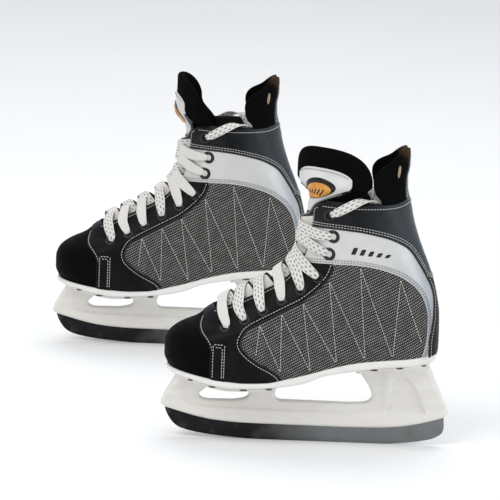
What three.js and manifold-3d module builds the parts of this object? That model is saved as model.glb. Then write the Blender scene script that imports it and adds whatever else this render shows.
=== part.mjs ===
// A pair of hockey skates standing on their blades, side by side, toes toward -X.
// Millimetres, +Z up. Each skate is designed in its own frame: x = 0 is the middle of the
// running edge with +x toward the heel, y = 0 is its middle plane, z = 0 is the ice.
// The design is the left skate, whose outer (lateral) side faces -Y. The right skate is its mirror.
import * as THREE from 'three';
import { mergeVertices } from 'three/addons/utils/BufferGeometryUtils.js';
import Module from 'manifold-3d';

const wasm = await Module();
wasm.setup();

// ---- Driving dimensions -------------------------------------------------------------------
const PAIR_SPACING = 450;       // between the middle planes of the two skates
const RIGHT_SKATE_AHEAD = 130;  // the right skate stands this much further toward -X
const GAP = 0.3;                // clearance between touching pieces
const REACH = 120;              // half length of a side cutter along Y, past every skate piece

const PANEL_THICKNESS = 2.4;    // outer leather, fabric and moulded panels
const LINER_THICKNESS = 3.4;    // padded lining behind the panels
const FOOTBED_THICKNESS = 4;
const TONGUE_THICKNESS = 7;
const GUARD_THICKNESS = 5;
const CUFF_TOP = 248;           // height of the collar above the ice
const BLADE_THICKNESS = 3;
const BLADE_IN_HOLDER = 7;      // depth of steel held in the slot
const HOLDER_FLANGE = 3;        // plate of the holder riveted under the sole
const LACE_WIDTH = 8.5;
const LACE_THICKNESS = 1.5;

// ---- Small mathematics --------------------------------------------------------------------
const clamp01 = (t) => Math.min(1, Math.max(0, t));
const smooth = (from, to, value) => {
  const t = clamp01((value - from) / (to - from));
  return t * t * (3 - 2 * t);
};
// value at `at` of the broken line through pairs [position, value]
function along(pairs, at) {
  if (at <= pairs[0][0]) return pairs[0][1];
  for (let i = 1; i < pairs.length; i += 1) {
    const [p0, v0] = pairs[i - 1];
    const [p1, v1] = pairs[i];
    if (at <= p1) return v0 + ((v1 - v0) * (at - p0)) / (p1 - p0);
  }
  return pairs[pairs.length - 1][1];
}
// quarter-round end of a plan outline: 0 at the end, 1 past the rounding length
const roundEnd = (share) => Math.sqrt(1 - (1 - clamp01(share)) ** 2);

// ---- Solids -------------------------------------------------------------------------------
function solid(geometry) {
  const bare = geometry.clone();
  bare.deleteAttribute('normal');
  bare.deleteAttribute('uv');
  const merged = mergeVertices(bare, 1e-4);
  return new wasm.Manifold(new wasm.Mesh({
    numProp: 3,
    vertProperties: new Float32Array(merged.attributes.position.array),
    triVerts: new Uint32Array(merged.index.array),
  }));
}

function geometryOf(manifold) {
  const mesh = manifold.getMesh();
  const geometry = new THREE.BufferGeometry();
  geometry.setAttribute('position', new THREE.BufferAttribute(mesh.vertProperties, 3));
  geometry.setIndex(new THREE.BufferAttribute(mesh.triVerts, 1));
  return geometry;
}

// closed skin over a stack of rings with equally many points, fanned shut at both ends
function loft(rings) {
  const count = rings[0].length;
  const points = rings.flat();
  const faces = [];
  for (let r = 0; r + 1 < rings.length; r += 1) {
    for (let i = 0; i < count; i += 1) {
      const a = r * count + i;
      const b = r * count + ((i + 1) % count);
      faces.push(a, b, b + count, a, b + count, a + count);
    }
  }
  for (const [ring, first, flip] of [[rings[0], 0, true], [rings.at(-1), points.length - count, false]]) {
    const centre = ring.reduce((sum, p) => sum.add(p), new THREE.Vector3()).divideScalar(count);
    points.push(centre);
    for (let i = 0; i < count; i += 1) {
      const a = first + i;
      const b = first + ((i + 1) % count);
      faces.push(...(flip ? [b, a] : [a, b]), points.length - 1);
    }
  }
  const geometry = new THREE.BufferGeometry().setFromPoints(points);
  geometry.setIndex(faces);
  return geometry;
}

// outline with rounded corners: each corner is [x, z] or [x, z, radius]
function roundedShape(corners) {
  const at = (i) => new THREE.Vector2(...corners[(i + corners.length) % corners.length].slice(0, 2));
  const shape = new THREE.Shape();
  corners.forEach(([x, z, radius = 0], i) => {
    const corner = new THREE.Vector2(x, z);
    const towards = (other) => {
      const direction = other.clone().sub(corner).normalize();
      const reach = Math.min(radius, corner.distanceTo(other) * 0.5);
      return corner.clone().addScaledVector(direction, reach);
    };
    const enter = towards(at(i - 1));
    const leave = towards(at(i + 1));
    if (i === 0) shape.moveTo(enter.x, enter.y);
    else shape.lineTo(enter.x, enter.y);
    if (radius > 0) shape.quadraticCurveTo(x, z, leave.x, leave.y);
  });
  shape.closePath();
  return shape;
}

// side view outline (x, z) pushed through from y = from to y = to
function sidePrism(shape, from = -REACH, to = REACH, roundness = 4) {
  const geometry = new THREE.ExtrudeGeometry(shape, {
    depth: to - from, bevelEnabled: false, curveSegments: roundness,
  });
  geometry.rotateX(Math.PI / 2);
  geometry.translate(0, to, 0);
  return solid(geometry);
}

// plan outline (x, y) pushed up from z = from to z = to
function planPrism(shape, from, to) {
  const geometry = new THREE.ExtrudeGeometry(shape, { depth: to - from, bevelEnabled: false });
  geometry.translate(0, 0, from);
  return solid(geometry);
}

// cross-section given by its half width at some heights, pushed along x
function lengthwisePrism(halfWidths, from, to) {
  const right = halfWidths.map(([z, half]) => new THREE.Vector2(half, z));
  const left = halfWidths.map(([z, half]) => new THREE.Vector2(-half, z)).reverse();
  const shape = new THREE.Shape([...right, ...left]);
  const geometry = new THREE.ExtrudeGeometry(shape, { depth: to - from, bevelEnabled: false });
  geometry.rotateX(Math.PI / 2);
  geometry.rotateZ(Math.PI / 2);
  geometry.translate(from, 0, 0);
  return solid(geometry);
}

// the same closed outline moved outward by `by`
function grown(corners, by) {
  if (by === 0) return corners;
  const area = corners.reduce((sum, [x, z], i) => {
    const [nextX, nextZ] = corners[(i + 1) % corners.length];
    return sum + x * nextZ - nextX * z;
  }, 0);
  const turn = Math.sign(area) * by;
  const normal = ([x0, z0], [x1, z1]) => new THREE.Vector2(z1 - z0, x0 - x1).normalize();
  return corners.map((corner, i) => {
    const before = normal(corners.at(i - 1), corner);
    const after = normal(corner, corners[(i + 1) % corners.length]);
    const mitre = before.clone().add(after);
    mitre.multiplyScalar(turn / Math.max(0.5, mitre.dot(after)));
    return [corner[0] + mitre.x, corner[1] + mitre.y, ...corner.slice(2)];
  });
}

const sideArea = (corners, from, to, roundness) => sidePrism(roundedShape(corners), from, to, roundness);
const WHOLE_SIDE = [[-200, 0], [200, 0], [200, 330], [-200, 330]];
const lateralHalf = (manifold) => manifold.intersect(sideArea(WHOLE_SIDE, -REACH, 0));
const medialHalf = (manifold) => manifold.intersect(sideArea(WHOLE_SIDE, 0, REACH));

// ---- The boot's outer surface -------------------------------------------------------------
// Middle-plane profiles as [z, x]: over the toe, instep and shin, and down the back.
const FRONT_PROFILE = [
  [58, -136], [74, -140], [84, -144], [96, -144], [105, -141], [112, -134], [117, -125], [122, -114],
  [130, -104], [138, -94], [148, -76], [158, -57], [168, -40], [180, -25], [195, -15], [212, -10],
  [230, -8], [310, -8],
];
const BACK_PROFILE = [
  [58, 126], [112, 127.6], [136, 126.8], [150, 124.6], [169, 119.8], [188, 112], [211, 102.8], [231, 96.6],
  [248, 93.4], [262, 90.4], [272, 90.2], [284, 92], [296, 91.8], [310, 88],
];
// half widths: of the foot as [x, half width], of the leg as [z, half width]
const FOOT_HALF_WIDTH = [[-144, 46], [-110, 49], [-80, 50], [-50, 46], [-10, 39], [30, 36], [128, 36]];
const LEG_HALF_WIDTH = [
  [110, 39], [135, 40], [170, 37], [195, 38], [225, 42], [250, 44], [272, 41], [310, 26],
];
// length of the rounding at the front and the back of each ring, as [z, length]
const FRONT_ROUNDING = [[85, 40], [105, 50], [125, 74], [150, 78], [180, 62], [210, 50]];
const BACK_ROUNDING = [[95, 40], [130, 46], [250, 48]];
const TOE_LEAN = 5;             // the toe leans toward the inner (medial) side
const FOOT_TO_LEG = [105, 165]; // heights between which the foot's width turns into the leg's
const TUCK_HEIGHT = 22;         // the upper draws in over this height above the sole
const TUCK_SHARE = 0.08;
// under side of the upper, equal to the top of the outsole, as [x, z]
const SOLE_TOP = [
  [-150, 74], [-138, 73.6], [-116, 71.4], [-85, 67], [-60, 65.4], [-42, 65.8], [-25, 69], [-4, 74],
  [27, 83], [52, 88.6], [76, 91.5], [108, 94.6], [135, 99.5],
];
const RING_HEIGHTS = [58, 84, 98, 107, 114, 121, 130, 142, 156, 172, 190, 212, 250];
const GUARD_HEIGHTS = [244, 250, 262, 272, 284, 296, 310];
const HALF_RING = 9;            // steps from the front to the back along one side

// a middle-plane profile moved inward (toward the foot) by `inset`, still as [z, x]
function insetProfile(profile, inset, inward) {
  if (inset === 0) return profile;
  return profile.map(([z, x], i) => {
    const [z0, x0] = profile[Math.max(0, i - 1)];
    const [z1, x1] = profile[Math.min(profile.length - 1, i + 1)];
    const length = Math.hypot(z1 - z0, x1 - x0);
    return [z - (inward * inset * (x1 - x0)) / length, x + (inward * inset * (z1 - z0)) / length];
  });
}

function halfWidth(x, z) {
  const wide = along(FOOT_HALF_WIDTH, x);
  const body = wide + (along(LEG_HALF_WIDTH, z) - wide) * smooth(...FOOT_TO_LEG, z);
  const aboveSole = clamp01((z - along(SOLE_TOP, x)) / TUCK_HEIGHT);
  return body * (1 - TUCK_SHARE * (1 - aboveSole) ** 2);
}

const toeLean = (x) => TOE_LEAN * smooth(-50, -140, x);

function bootRing(z, inset, front, back) {
  const xFront = along(front, z);
  const xBack = along(back, z);
  const sidePoint = (step, side) => {
    const x = xFront + ((xBack - xFront) * (1 - Math.cos((Math.PI * step) / HALF_RING))) / 2;
    const ends = roundEnd((x - xFront) / (along(FRONT_ROUNDING, z) - inset * 0.5))
      * roundEnd((xBack - x) / (along(BACK_ROUNDING, z) - inset * 0.5));
    return new THREE.Vector3(x, toeLean(x) + side * (halfWidth(x, z) - inset) * ends, z);
  };
  const ring = [];
  for (let step = 0; step < HALF_RING; step += 1) ring.push(sidePoint(step, -1));
  for (let step = HALF_RING; step > 0; step -= 1) ring.push(sidePoint(step, 1));
  return ring;
}

// everything inside the boot's surface, `inset` millimetres under it
function bootVolume(inset, heights = RING_HEIGHTS) {
  const front = insetProfile(FRONT_PROFILE, inset, 1);
  const back = insetProfile(BACK_PROFILE, inset, -1);
  return solid(loft(heights.map((z) => bootRing(z, inset, front, back))));
}

const bootSkin = (outer, inner, heights) => bootVolume(outer, heights).subtract(bootVolume(inner, heights));

// ---- Side view areas of the upper ---------------------------------------------------------
const soleTopLine = (lift) => SOLE_TOP.map(([x, z]) => [x, z + lift]);
const THROAT = [
  [-96, 133.6], [-79, 140], [-59, 149.8], [-46, 156.4], [-26, 168.6], [-12, 185], [-4, 203], [-1, 223],
];
const BAND_TOP = [
  [-1, 223], [30, 223], [51, 220.8], [71, 216], [85, 209.6], [96, 201], [104.5, 188.3], [113, 173.4],
  [118.3, 162], [120.8, 149.8], [120.9, 130.7], [118.5, 112], [118, 92],
];
const BAND_BOTTOM = [
  [-20, 184.6], [3, 185.4], [21, 186.3], [42, 186.4], [61.5, 184], [77, 180], [89, 174.8],
  [101, 166], [109.5, 155], [114.5, 141], [115.6, 130], [115, 112], [111, 92],
];
const QUARTER_FRONT = [
  [-25, 60], [-31, 74.5], [-39.5, 80.7], [-59.3, 93.4], [-67, 100], [-69, 107], [-66.5, 113],
  [-48.6, 127.2], [-18.8, 143.1], [-8, 149], [5.3, 160.1], [14.4, 170.1], [19, 178], [21.3, 192],
];
const TOE_CAP_BACK = [[-98.5, 50], [-98.5, 103.5], [-110, 116, 6], [-106.5, 124.5], [-97, 132.4], [-86, 145]];
const TOE_STRAP = [[-105, 50], [-82, 50], [-82, 104], [-87, 108.5, 3], [-105, 108.5]];
const BAND_MIDDLE = [[60, 200], [81, 194], [100, 181], [113, 160], [118, 140], [118, 112], [115, 50]];
const BACKSTAY_TOP = 173.4;     // where the strip up the heel meets the cuff

function upperArea(lift, topDrop) {
  const top = CUFF_TOP - topDrop;
  return sideArea([
    [-170, 74], ...soleTopLine(lift), [150, 99], [150, 252 - topDrop], [86, 252 - topDrop], [82, top, 5],
    [-1, top, 14], ...THROAT.slice().reverse(), [-108, 150], [-170, 150],
  ]);
}

// ---- Upper: one skin cut into its panels --------------------------------------------------
function upperPanels() {
  let rest = bootSkin(0, PANEL_THICKNESS).intersect(upperArea(GAP, 0));
  const take = (corners) => {
    const panel = rest.intersect(sideArea(corners));
    rest = rest.subtract(sideArea(grown(corners, GAP)));
    return panel;
  };
  const toeCap = take([[-170, 50], ...TOE_CAP_BACK, [-170, 150]]);
  const straps = take(TOE_STRAP);
  const bands = take([...BAND_BOTTOM, ...BAND_TOP.slice().reverse(), [-20, 223]]);
  const quarters = take([...QUARTER_FRONT, ...BAND_MIDDLE]);
  const backstay = take([...BAND_MIDDLE.slice(3), [150, 50], [150, BACKSTAY_TOP], [108, BACKSTAY_TOP]]);
  const cuff = take([[-40, 205], ...BAND_MIDDLE.slice(0, 3), [108, BACKSTAY_TOP], [150, BACKSTAY_TOP],
    [150, 300], [-40, 300]]);
  return { toeCap, straps, bands, quarters, backstay, cuff, vamp: rest };
}

const liner = () => bootSkin(PANEL_THICKNESS + GAP, PANEL_THICKNESS + GAP + LINER_THICKNESS)
  .intersect(upperArea(GAP, 1));

// ---- Footbed and outsole ------------------------------------------------------------------
const INSIDE = PANEL_THICKNESS + LINER_THICKNESS + 2 * GAP;

function footbed() {
  return bootVolume(INSIDE + GAP).intersect(sideArea([
    ...soleTopLine(GAP), ...soleTopLine(GAP + FOOTBED_THICKNESS).reverse(),
  ]));
}

const OUTSOLE_FRONT = -142;
const OUTSOLE_BACK = 128;
const SOLE_WIDTH_SHARE = 0.93;  // of the foot's width
const SOLE_RIM = 2;             // the sole stands out past that share
const SOLE_ROUNDING = 42;       // length of its round ends
// under side of the outsole as [x, z]
const OUTSOLE_LOW = [
  [-144, 69.4], [-130, 67.8], [-117, 66.4], [-96, 61.8], [-79, 59.4], [-57, 59.6], [-29, 61.2], [-3, 65.8],
  [15, 73], [48, 79.5], [77, 84], [120, 87.4], [131, 92],
];

// plan outline of the sole, `inset` inside its rim
function solePlan(inset, from = OUTSOLE_FRONT, to = OUTSOLE_BACK, steps = 14) {
  const side = (sign) => Array.from({ length: steps + 1 }, (_, i) => {
    const x = from + inset + ((to - from - 2 * inset) * (1 - Math.cos((Math.PI * i) / steps))) / 2;
    const ends = roundEnd((x - from - inset) / SOLE_ROUNDING) * roundEnd((to - inset - x) / SOLE_ROUNDING);
    const half = along(FOOT_HALF_WIDTH, x) * SOLE_WIDTH_SHARE + SOLE_RIM - inset;
    return new THREE.Vector2(x, toeLean(x) + sign * half * ends);
  });
  return new THREE.Shape([...side(-1), ...side(1).reverse().slice(1, -1)]);
}

function outsole() {
  const band = sideArea([...OUTSOLE_LOW, ...SOLE_TOP.slice().reverse()]);
  return band.intersect(planPrism(solePlan(0), 40, 120));
}

// ---- Blade holder and blade ---------------------------------------------------------------
const HOLDER_BOTTOM = [
  [137, 29.5], [128, 26.6], [104, 20.1], [80, 17.3], [42, 16.4], [-65, 16.8], [-94, 18.9],
  [-113, 22.6], [-142, 30.7],
];
const HOLDER_WIDTH = [[10, 7], [34, 7.5], [40, 10], [52, 12.5], [60, 16], [90, 22]]; // [z, half width]
const FRONT_FLANGE = [-130, -28];
const REAR_FLANGE = [47, 120.5];
const FLANGE_INSET = 6;         // from the sole's rim
const underSole = (drop, from, to) => OUTSOLE_LOW
  .filter(([x]) => x > from && x < to)
  .map(([x, z]) => [x, z - drop]);
const underSoleAt = (x, drop) => [x, along(OUTSOLE_LOW, x) - drop];

function holder() {
  const body = sideArea([
    underSoleAt(-130, GAP), ...underSole(GAP, -130, -29), [-29, 60.9],
    [-34, 41, 9], [-2, 40.9], [42, 40.6], [66, 42, 12], [63, 58, 6], [48, 79.2],
    ...underSole(GAP, 48, 120), underSoleAt(120, GAP), [121.5, 79], [130, 61, 8], [141.8, 34, 3],
    ...HOLDER_BOTTOM, [-146.4, 34, 4], [-144.5, 40],
  ]);
  const frontWindow = sideArea([
    [-94, 57], [-110, 44, 8], [-103, 39, 5], [-72, 39.4, 6], [-56, 43, 8], [-61, 57, 5],
  ]);
  const towers = lengthwisePrism(HOLDER_WIDTH, -160, 160);
  const flange = ([from, to]) => sideArea([
    underSoleAt(from, GAP), ...underSole(GAP, from, to), underSoleAt(to, GAP),
    underSoleAt(to, GAP + HOLDER_FLANGE), ...underSole(GAP + HOLDER_FLANGE, from, to).reverse(),
    underSoleAt(from, GAP + HOLDER_FLANGE),
  ]).intersect(planPrism(solePlan(FLANGE_INSET), 40, 120));
  return body.subtract(frontWindow).intersect(towers)
    .add(flange(FRONT_FLANGE))
    .add(flange(REAR_FLANGE))
    .subtract(bladeShape(GAP));
}

function bladeShape(clearance) {
  const edge = [
    [-141.6, 30.7], [-139, 23], [-132, 13], [-122, 7.8], [-101, 3.7], [-74, 1.2], [-45, 0], [43, 0],
    [89, 0.9], [119, 5], [132.5, 9.8], [137.8, 16.6], [137, 30],
  ];
  const held = HOLDER_BOTTOM.slice(1, -1).map(([x, z]) => [x, z + BLADE_IN_HOLDER + clearance]);
  const half = BLADE_THICKNESS / 2 + clearance;
  return sideArea([...edge, ...held], -half, half);
}

// ---- Tongue -------------------------------------------------------------------------------
const TONGUE_AREA = [[-88, 118], [-60, 128], [-30, 142], [2, 166], [24, 196], [30, 230], [30, CUFF_TOP],
  [-30, CUFF_TOP], [-60, 190], [-104, 150]];
const TONGUE_HINGE_HEIGHT = CUFF_TOP + 2;
const TONGUE_RADIUS = 62;       // plan radius of the upstanding tongue
const TONGUE_HALF_ANGLE = 52;   // degrees to each side of its middle
const TONGUE_TOP = 301;

const tongueBase = () => bootSkin(INSIDE + GAP, INSIDE + GAP + TONGUE_THICKNESS)
  .intersect(sideArea(TONGUE_AREA));

// curved plate about the axis x = TONGUE_RADIUS, bulging toward -x and touching x = 0,
// between two radii past the tongue's own, seen from the front through `shape` (y, z)
function tonguePlate(shape, inside, outside, steps = 8) {
  const arc = (radius) => Array.from({ length: steps + 1 }, (_, i) => {
    const angle = THREE.MathUtils.degToRad(TONGUE_HALF_ANGLE * ((2 * i) / steps - 1));
    return new THREE.Vector2(TONGUE_RADIUS - radius * Math.cos(angle), radius * Math.sin(angle));
  });
  const plan = new THREE.Shape([...arc(TONGUE_RADIUS + outside), ...arc(TONGUE_RADIUS + inside).reverse()]);
  const view = new THREE.ExtrudeGeometry(shape, { depth: 200, bevelEnabled: false, curveSegments: 5 });
  view.rotateX(Math.PI / 2);
  view.rotateZ(Math.PI / 2);
  view.translate(-100, 0, 0);
  return planPrism(plan, -20, 90).intersect(solid(view));
}

const tongueHeight = TONGUE_TOP - TONGUE_HINGE_HEIGHT;
const TONGUE_PANEL_THICKNESS = 1.2;
const BADGE_THICKNESS = 1.8;
const BADGE_FROM = 2 * GAP + TONGUE_PANEL_THICKNESS;
const tongueTop = () => tonguePlate(roundedShape([
  [-47, 0.4], [47, 0.4], [50, 30, 10], [34, tongueHeight, 26], [-34, tongueHeight, 26], [-50, 30, 10],
]), -TONGUE_THICKNESS, 0);
const tonguePanel = () => tonguePlate(roundedShape([
  [-34, 2], [34, 2], [32, 24, 8], [20, 31, 16], [-20, 31, 16], [-32, 24, 8],
]), GAP, GAP + TONGUE_PANEL_THICKNESS);
const tongueBadge = () => tonguePlate(
  new THREE.Shape().absellipse(0, 13.5, 20, 10.5, 0, Math.PI * 2),
  BADGE_FROM, BADGE_FROM + BADGE_THICKNESS);

// ---- Tendon guard -------------------------------------------------------------------------
function tendonGuard() {
  return bootSkin(0, GUARD_THICKNESS, GUARD_HEIGHTS).intersect(sideArea([
    [67, 252.6], [58.5, 260, 6], [56.5, 273, 8], [64, 284, 6], [76, 290.5], [85, 300], [89, 304],
    [110, 304], [110, 252.6],
  ]));
}

// ---- Lace ---------------------------------------------------------------------------------
// eyelet places as [height, distance behind the front profile], lowest first
const EYELETS = [[119.6, 35.8], [128.3, 41], [137.8, 47], [148.3, 46], [159.2, 44], [172.5, 39], [197, 30],
  [215, 28.5], [236, 23.5]];
const LACE_LIFT = 4.2;          // from the boot's surface to the middle of the lace
const CROSSING_LIFT = 2.4;      // the upper strand of a crossing passes this much higher
const STRAND_STEPS = 4;

// point over the throat: `across` runs from -1 at the outer eyelet to 1 at the inner eyelet
function throatPoint(z, across, reach, lift) {
  const at = (height, place) => {
    const behind = reach * place * place;
    const x = along(FRONT_PROFILE, height) + behind;
    const half = halfWidth(x, height) * roundEnd(behind / along(FRONT_ROUNDING, height));
    return new THREE.Vector3(x, toeLean(x) + Math.sign(place) * half, height);
  };
  const rise = at(z + 1, across).sub(at(z - 1, across));
  const sideways = at(z, across + 0.02).sub(at(z, across - 0.02));
  const outward = rise.cross(sideways).normalize();
  return { place: at(z, across).addScaledVector(outward, lift), outward };
}

function laceStrand([z0, reach0], [z1, reach1], side) {
  const stations = Array.from({ length: STRAND_STEPS + 1 }, (_, i) => {
    const share = i / STRAND_STEPS;
    const z = z0 + (z1 - z0) * share;
    const across = side * (2 * share - 1);
    const lift = LACE_LIFT + (side > 0 ? CROSSING_LIFT * (1 - across * across) : 0);
    return throatPoint(z, across, reach0 + (reach1 - reach0) * share, lift);
  });
  return solid(loft(stations.map(({ place, outward }, i) => {
    const before = stations[Math.max(0, i - 1)].place;
    const after = stations[Math.min(STRAND_STEPS, i + 1)].place;
    const across = after.clone().sub(before).cross(outward).setLength(LACE_WIDTH / 2);
    const up = outward.clone().setLength(LACE_THICKNESS / 2);
    return [[-1, -1], [-1, 1], [1, 1], [1, -1]]
      .map(([a, b]) => place.clone().addScaledVector(across, a).addScaledVector(up, b));
  })));
}

function lace() {
  const crossings = EYELETS.slice(1).flatMap((upper, row) => [
    laceStrand(EYELETS[row], upper, 1),
    laceStrand(EYELETS[row], upper, -1),
  ]);
  return crossings.reduce((whole, strand) => whole.add(strand), laceStrand(EYELETS[0], EYELETS[0], 1));
}

// ---- Materials ----------------------------------------------------------------------------
const finish = (color, roughness, metalness = 0) => (
  new THREE.MeshStandardMaterial({ color, roughness, metalness }));
const steel = () => finish(0x9a9c9e, 0.28, 1);
const whitePlastic = () => finish(0xece9e0, 0.45);
const soleWhite = () => finish(0xe6e6e2, 0.4);
const blackMoulding = () => finish(0x17181b, 0.55);
const blackLeather = () => finish(0x15161b, 0.5);
const greyWeave = () => finish(0x77776f, 0.85);
const silverLeather = () => finish(0xc9ccd2, 0.4);
const blackFelt = () => finish(0x101012, 0.95);
const paddedLining = () => finish(0x1c1c20, 0.9);
const whiteVinyl = () => finish(0xe4e4e6, 0.45);
const orangeRubber = () => finish(0xd88a2a, 0.5);
const laceCotton = () => finish(0xe9e6dc, 0.85);

// ---- Assembly -----------------------------------------------------------------------------
const panels = upperPanels();
const FIXED_PIECES = [
  ['blade', bladeShape(0), steel],
  ['holder', holder(), whitePlastic],
  ['outsole', outsole(), soleWhite],
  ['footbed', footbed(), paddedLining],
  ['toe_cap', panels.toeCap, blackMoulding],
  ['toe_strap_lateral', lateralHalf(panels.straps), blackLeather],
  ['toe_strap_medial', medialHalf(panels.straps), blackLeather],
  ['vamp', panels.vamp, blackLeather],
  ['quarter_lateral', lateralHalf(panels.quarters), greyWeave],
  ['quarter_medial', medialHalf(panels.quarters), greyWeave],
  ['ankle_band_lateral', lateralHalf(panels.bands), silverLeather],
  ['ankle_band_medial', medialHalf(panels.bands), silverLeather],
  ['cuff', panels.cuff, blackLeather],
  ['backstay', panels.backstay, blackLeather],
  ['liner', liner(), paddedLining],
  ['tongue_base', tongueBase(), blackFelt],
  ['lace', lace(), laceCotton],
  ['tendon_guard', tendonGuard(), blackFelt],
];
const TONGUE_PIECES = [
  ['tongue_top', tongueTop(), blackFelt],
  ['tongue_panel', tonguePanel(), whiteVinyl],
  ['tongue_badge', tongueBadge(), orangeRubber],
];

function named(name, manifold, material) {
  const mesh = new THREE.Mesh(geometryOf(manifold), material());
  mesh.name = name;
  return mesh;
}

function groupOf(foot, pieces) {
  const made = new THREE.Group();
  for (const [piece, shape, material] of pieces) made.add(named(`${foot}_${piece}`, shape, material));
  return made;
}

// tongueTurn: degrees that the upstanding tongue is turned toward the outer side
function skate(foot, mirror, tongueTurn, tonguePlace) {
  const whole = groupOf(foot, FIXED_PIECES);
  const tongue = groupOf(foot, TONGUE_PIECES);
  tongue.position.set(tonguePlace[0], tonguePlace[1], TONGUE_HINGE_HEIGHT);
  tongue.rotation.z = THREE.MathUtils.degToRad(tongueTurn);
  whole.add(tongue);
  whole.scale.y = mirror;
  return whole;
}

const left = skate('left', 1, 50, [4, -24]);
const right = skate('right', -1, 0, [-18, 0]);
right.position.set(-RIGHT_SKATE_AHEAD, PAIR_SPACING, 0);

const pair = new THREE.Group();
pair.add(left, right);

// origin on the ground under the middle of the pair
const group = new THREE.Group();
const extent = new THREE.Box3().setFromObject(pair, true);
pair.position.set(-(extent.min.x + extent.max.x) / 2, -(extent.min.y + extent.max.y) / 2, -extent.min.z);
group.add(pair);
export default group;
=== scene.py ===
"""Looks of the pair of hockey skates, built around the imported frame.

Each skate is designed in its own millimetres: x = 0 in the middle of the running edge with +x toward the
heel, y = 0 in its middle plane with the outer side at -y, z = 0 on the ice. The right skate is the mirror
image. `world` turns that into the frame's metres. The boot is one curved surface, and every panel, seam,
stitch and eyelet is laid on it.
"""

import math

import bmesh
import bpy
import numpy as np
from mathutils import Matrix, Vector
from mathutils.geometry import delaunay_2d_cdt

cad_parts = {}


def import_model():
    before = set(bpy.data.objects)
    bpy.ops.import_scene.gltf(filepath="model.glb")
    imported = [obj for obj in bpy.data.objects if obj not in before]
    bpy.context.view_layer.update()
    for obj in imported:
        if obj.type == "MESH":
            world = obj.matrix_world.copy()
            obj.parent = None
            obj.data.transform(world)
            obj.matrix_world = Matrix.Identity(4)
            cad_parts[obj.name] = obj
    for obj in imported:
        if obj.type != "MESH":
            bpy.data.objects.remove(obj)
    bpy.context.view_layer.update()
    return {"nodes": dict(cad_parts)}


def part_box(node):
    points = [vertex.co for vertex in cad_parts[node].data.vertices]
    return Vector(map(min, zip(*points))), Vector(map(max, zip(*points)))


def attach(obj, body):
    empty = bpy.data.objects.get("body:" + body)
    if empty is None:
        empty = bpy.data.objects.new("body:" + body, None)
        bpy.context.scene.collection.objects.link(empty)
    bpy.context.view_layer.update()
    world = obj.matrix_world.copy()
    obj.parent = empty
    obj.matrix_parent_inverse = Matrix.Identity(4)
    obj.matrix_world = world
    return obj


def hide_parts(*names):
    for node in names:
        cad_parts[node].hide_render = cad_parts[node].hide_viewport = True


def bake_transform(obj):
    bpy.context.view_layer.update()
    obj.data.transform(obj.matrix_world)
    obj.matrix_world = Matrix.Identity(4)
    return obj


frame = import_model()

# ---- Driving dimensions, millimetres -----------------------------------------------------
BLADE_FRONT = 141.6          # from the skate's own origin forward to the tip of the blade
LACE_WIDTH = 11.0
LACE_THICKNESS = 1.5
STITCH_PITCH = 3.1
STITCH_LENGTH = 2.2
STITCH_RADIUS = 0.4
CAMERA_DISTANCE = 4500.0
CAMERA_ELEVATION = 10.5      # degrees above the horizon
CAMERA_ROLL = 2.2            # degrees
PICTURE_WIDTH = 500.0        # seen at the front skate
BLADE_IN_PICTURE = (55.0, -190.5)  # the blade's middle, right and up from the picture's centre
FEET = {"left": 1.0, "right": -1.0}
SIDES = (-1, 1)              # outer and inner side of a skate
DASHES = 5                   # in each of the two plain marks


# ---- Curves ------------------------------------------------------------------------------
class Smooth:
    """A smooth curve through (position, value) pairs that doesn't swing past them."""

    def __init__(self, pairs):
        self.at, self.value = np.array(pairs, float).T
        rate = np.diff(self.value) / np.diff(self.at)
        before, after = rate[:-1], rate[1:]
        inner = np.where(before * after > 0, 2 * before * after / (before + after + 1e-12), 0)
        self.rate = np.concatenate([rate[:1], inner, rate[-1:]])

    def __call__(self, at):
        at = np.clip(at, self.at[0], self.at[-1])
        i = np.clip(np.searchsorted(self.at, at) - 1, 0, len(self.at) - 2)
        width = self.at[i + 1] - self.at[i]
        t = (at - self.at[i]) / width
        start = (1 + 2 * t) * (1 - t) ** 2 * self.value[i] + t * (1 - t) ** 2 * width * self.rate[i]
        end = t * t * (3 - 2 * t) * self.value[i + 1] + t * t * (t - 1) * width * self.rate[i + 1]
        return start + end


def smoothstep(low, high, value):
    t = np.clip((value - low) / (high - low), 0, 1)
    return t * t * (3 - 2 * t)


def round_end(share):
    return np.sqrt(1 - (1 - np.clip(share, 0, 1)) ** 2)


def columns(*parts):
    """Arrays side by side, as the parts of points."""
    return np.stack(np.broadcast_arrays(*parts), axis=-1)


def turns(count):
    """Angles of `count` points round a circle."""
    return np.arange(count) / count * 2 * math.pi


def unit(vectors):
    return vectors / (np.linalg.norm(vectors, axis=-1, keepdims=True) + 1e-12)


def run_along(points):
    """Distance from a line's start to each of its points."""
    return np.concatenate([[0], np.cumsum(np.linalg.norm(np.diff(points, axis=0), axis=1))])


def at_distances(points, run, at):
    """Columns of `points`, known at the distances `run`, read at the distances `at`."""
    return np.stack([np.interp(at, run, column) for column in points.T], axis=1)


def resampled(points, spacing):
    """The same line with points about `spacing` apart."""
    points = np.array(points, float)
    run = run_along(points)
    count = max(2, int(round(run[-1] / spacing)) + 1)
    return at_distances(points, run, np.linspace(0, run[-1], count))


def resampled_loop(loop, spacing):
    return resampled(np.vstack([loop, loop[:1]]), spacing)[:-1]


def flowing(points, spacing=1.5):
    """A Catmull-Rom curve through the points, resampled."""
    points = np.array(points, float)
    padded = np.vstack([2 * points[0] - points[1], points, 2 * points[-1] - points[-2]])
    t = np.linspace(0, 1, 12, endpoint=False)[:, None]
    parts = []
    for a, b, c, d in zip(padded, padded[1:], padded[2:], padded[3:]):
        square = 2 * a - 5 * b + 4 * c - d
        cube = 3 * b - a - 3 * c + d
        parts.append(0.5 * (2 * b + (c - a) * t + square * t**2 + cube * t**3))
    return resampled(np.vstack(parts + [points[-1:]]), spacing)


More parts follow.
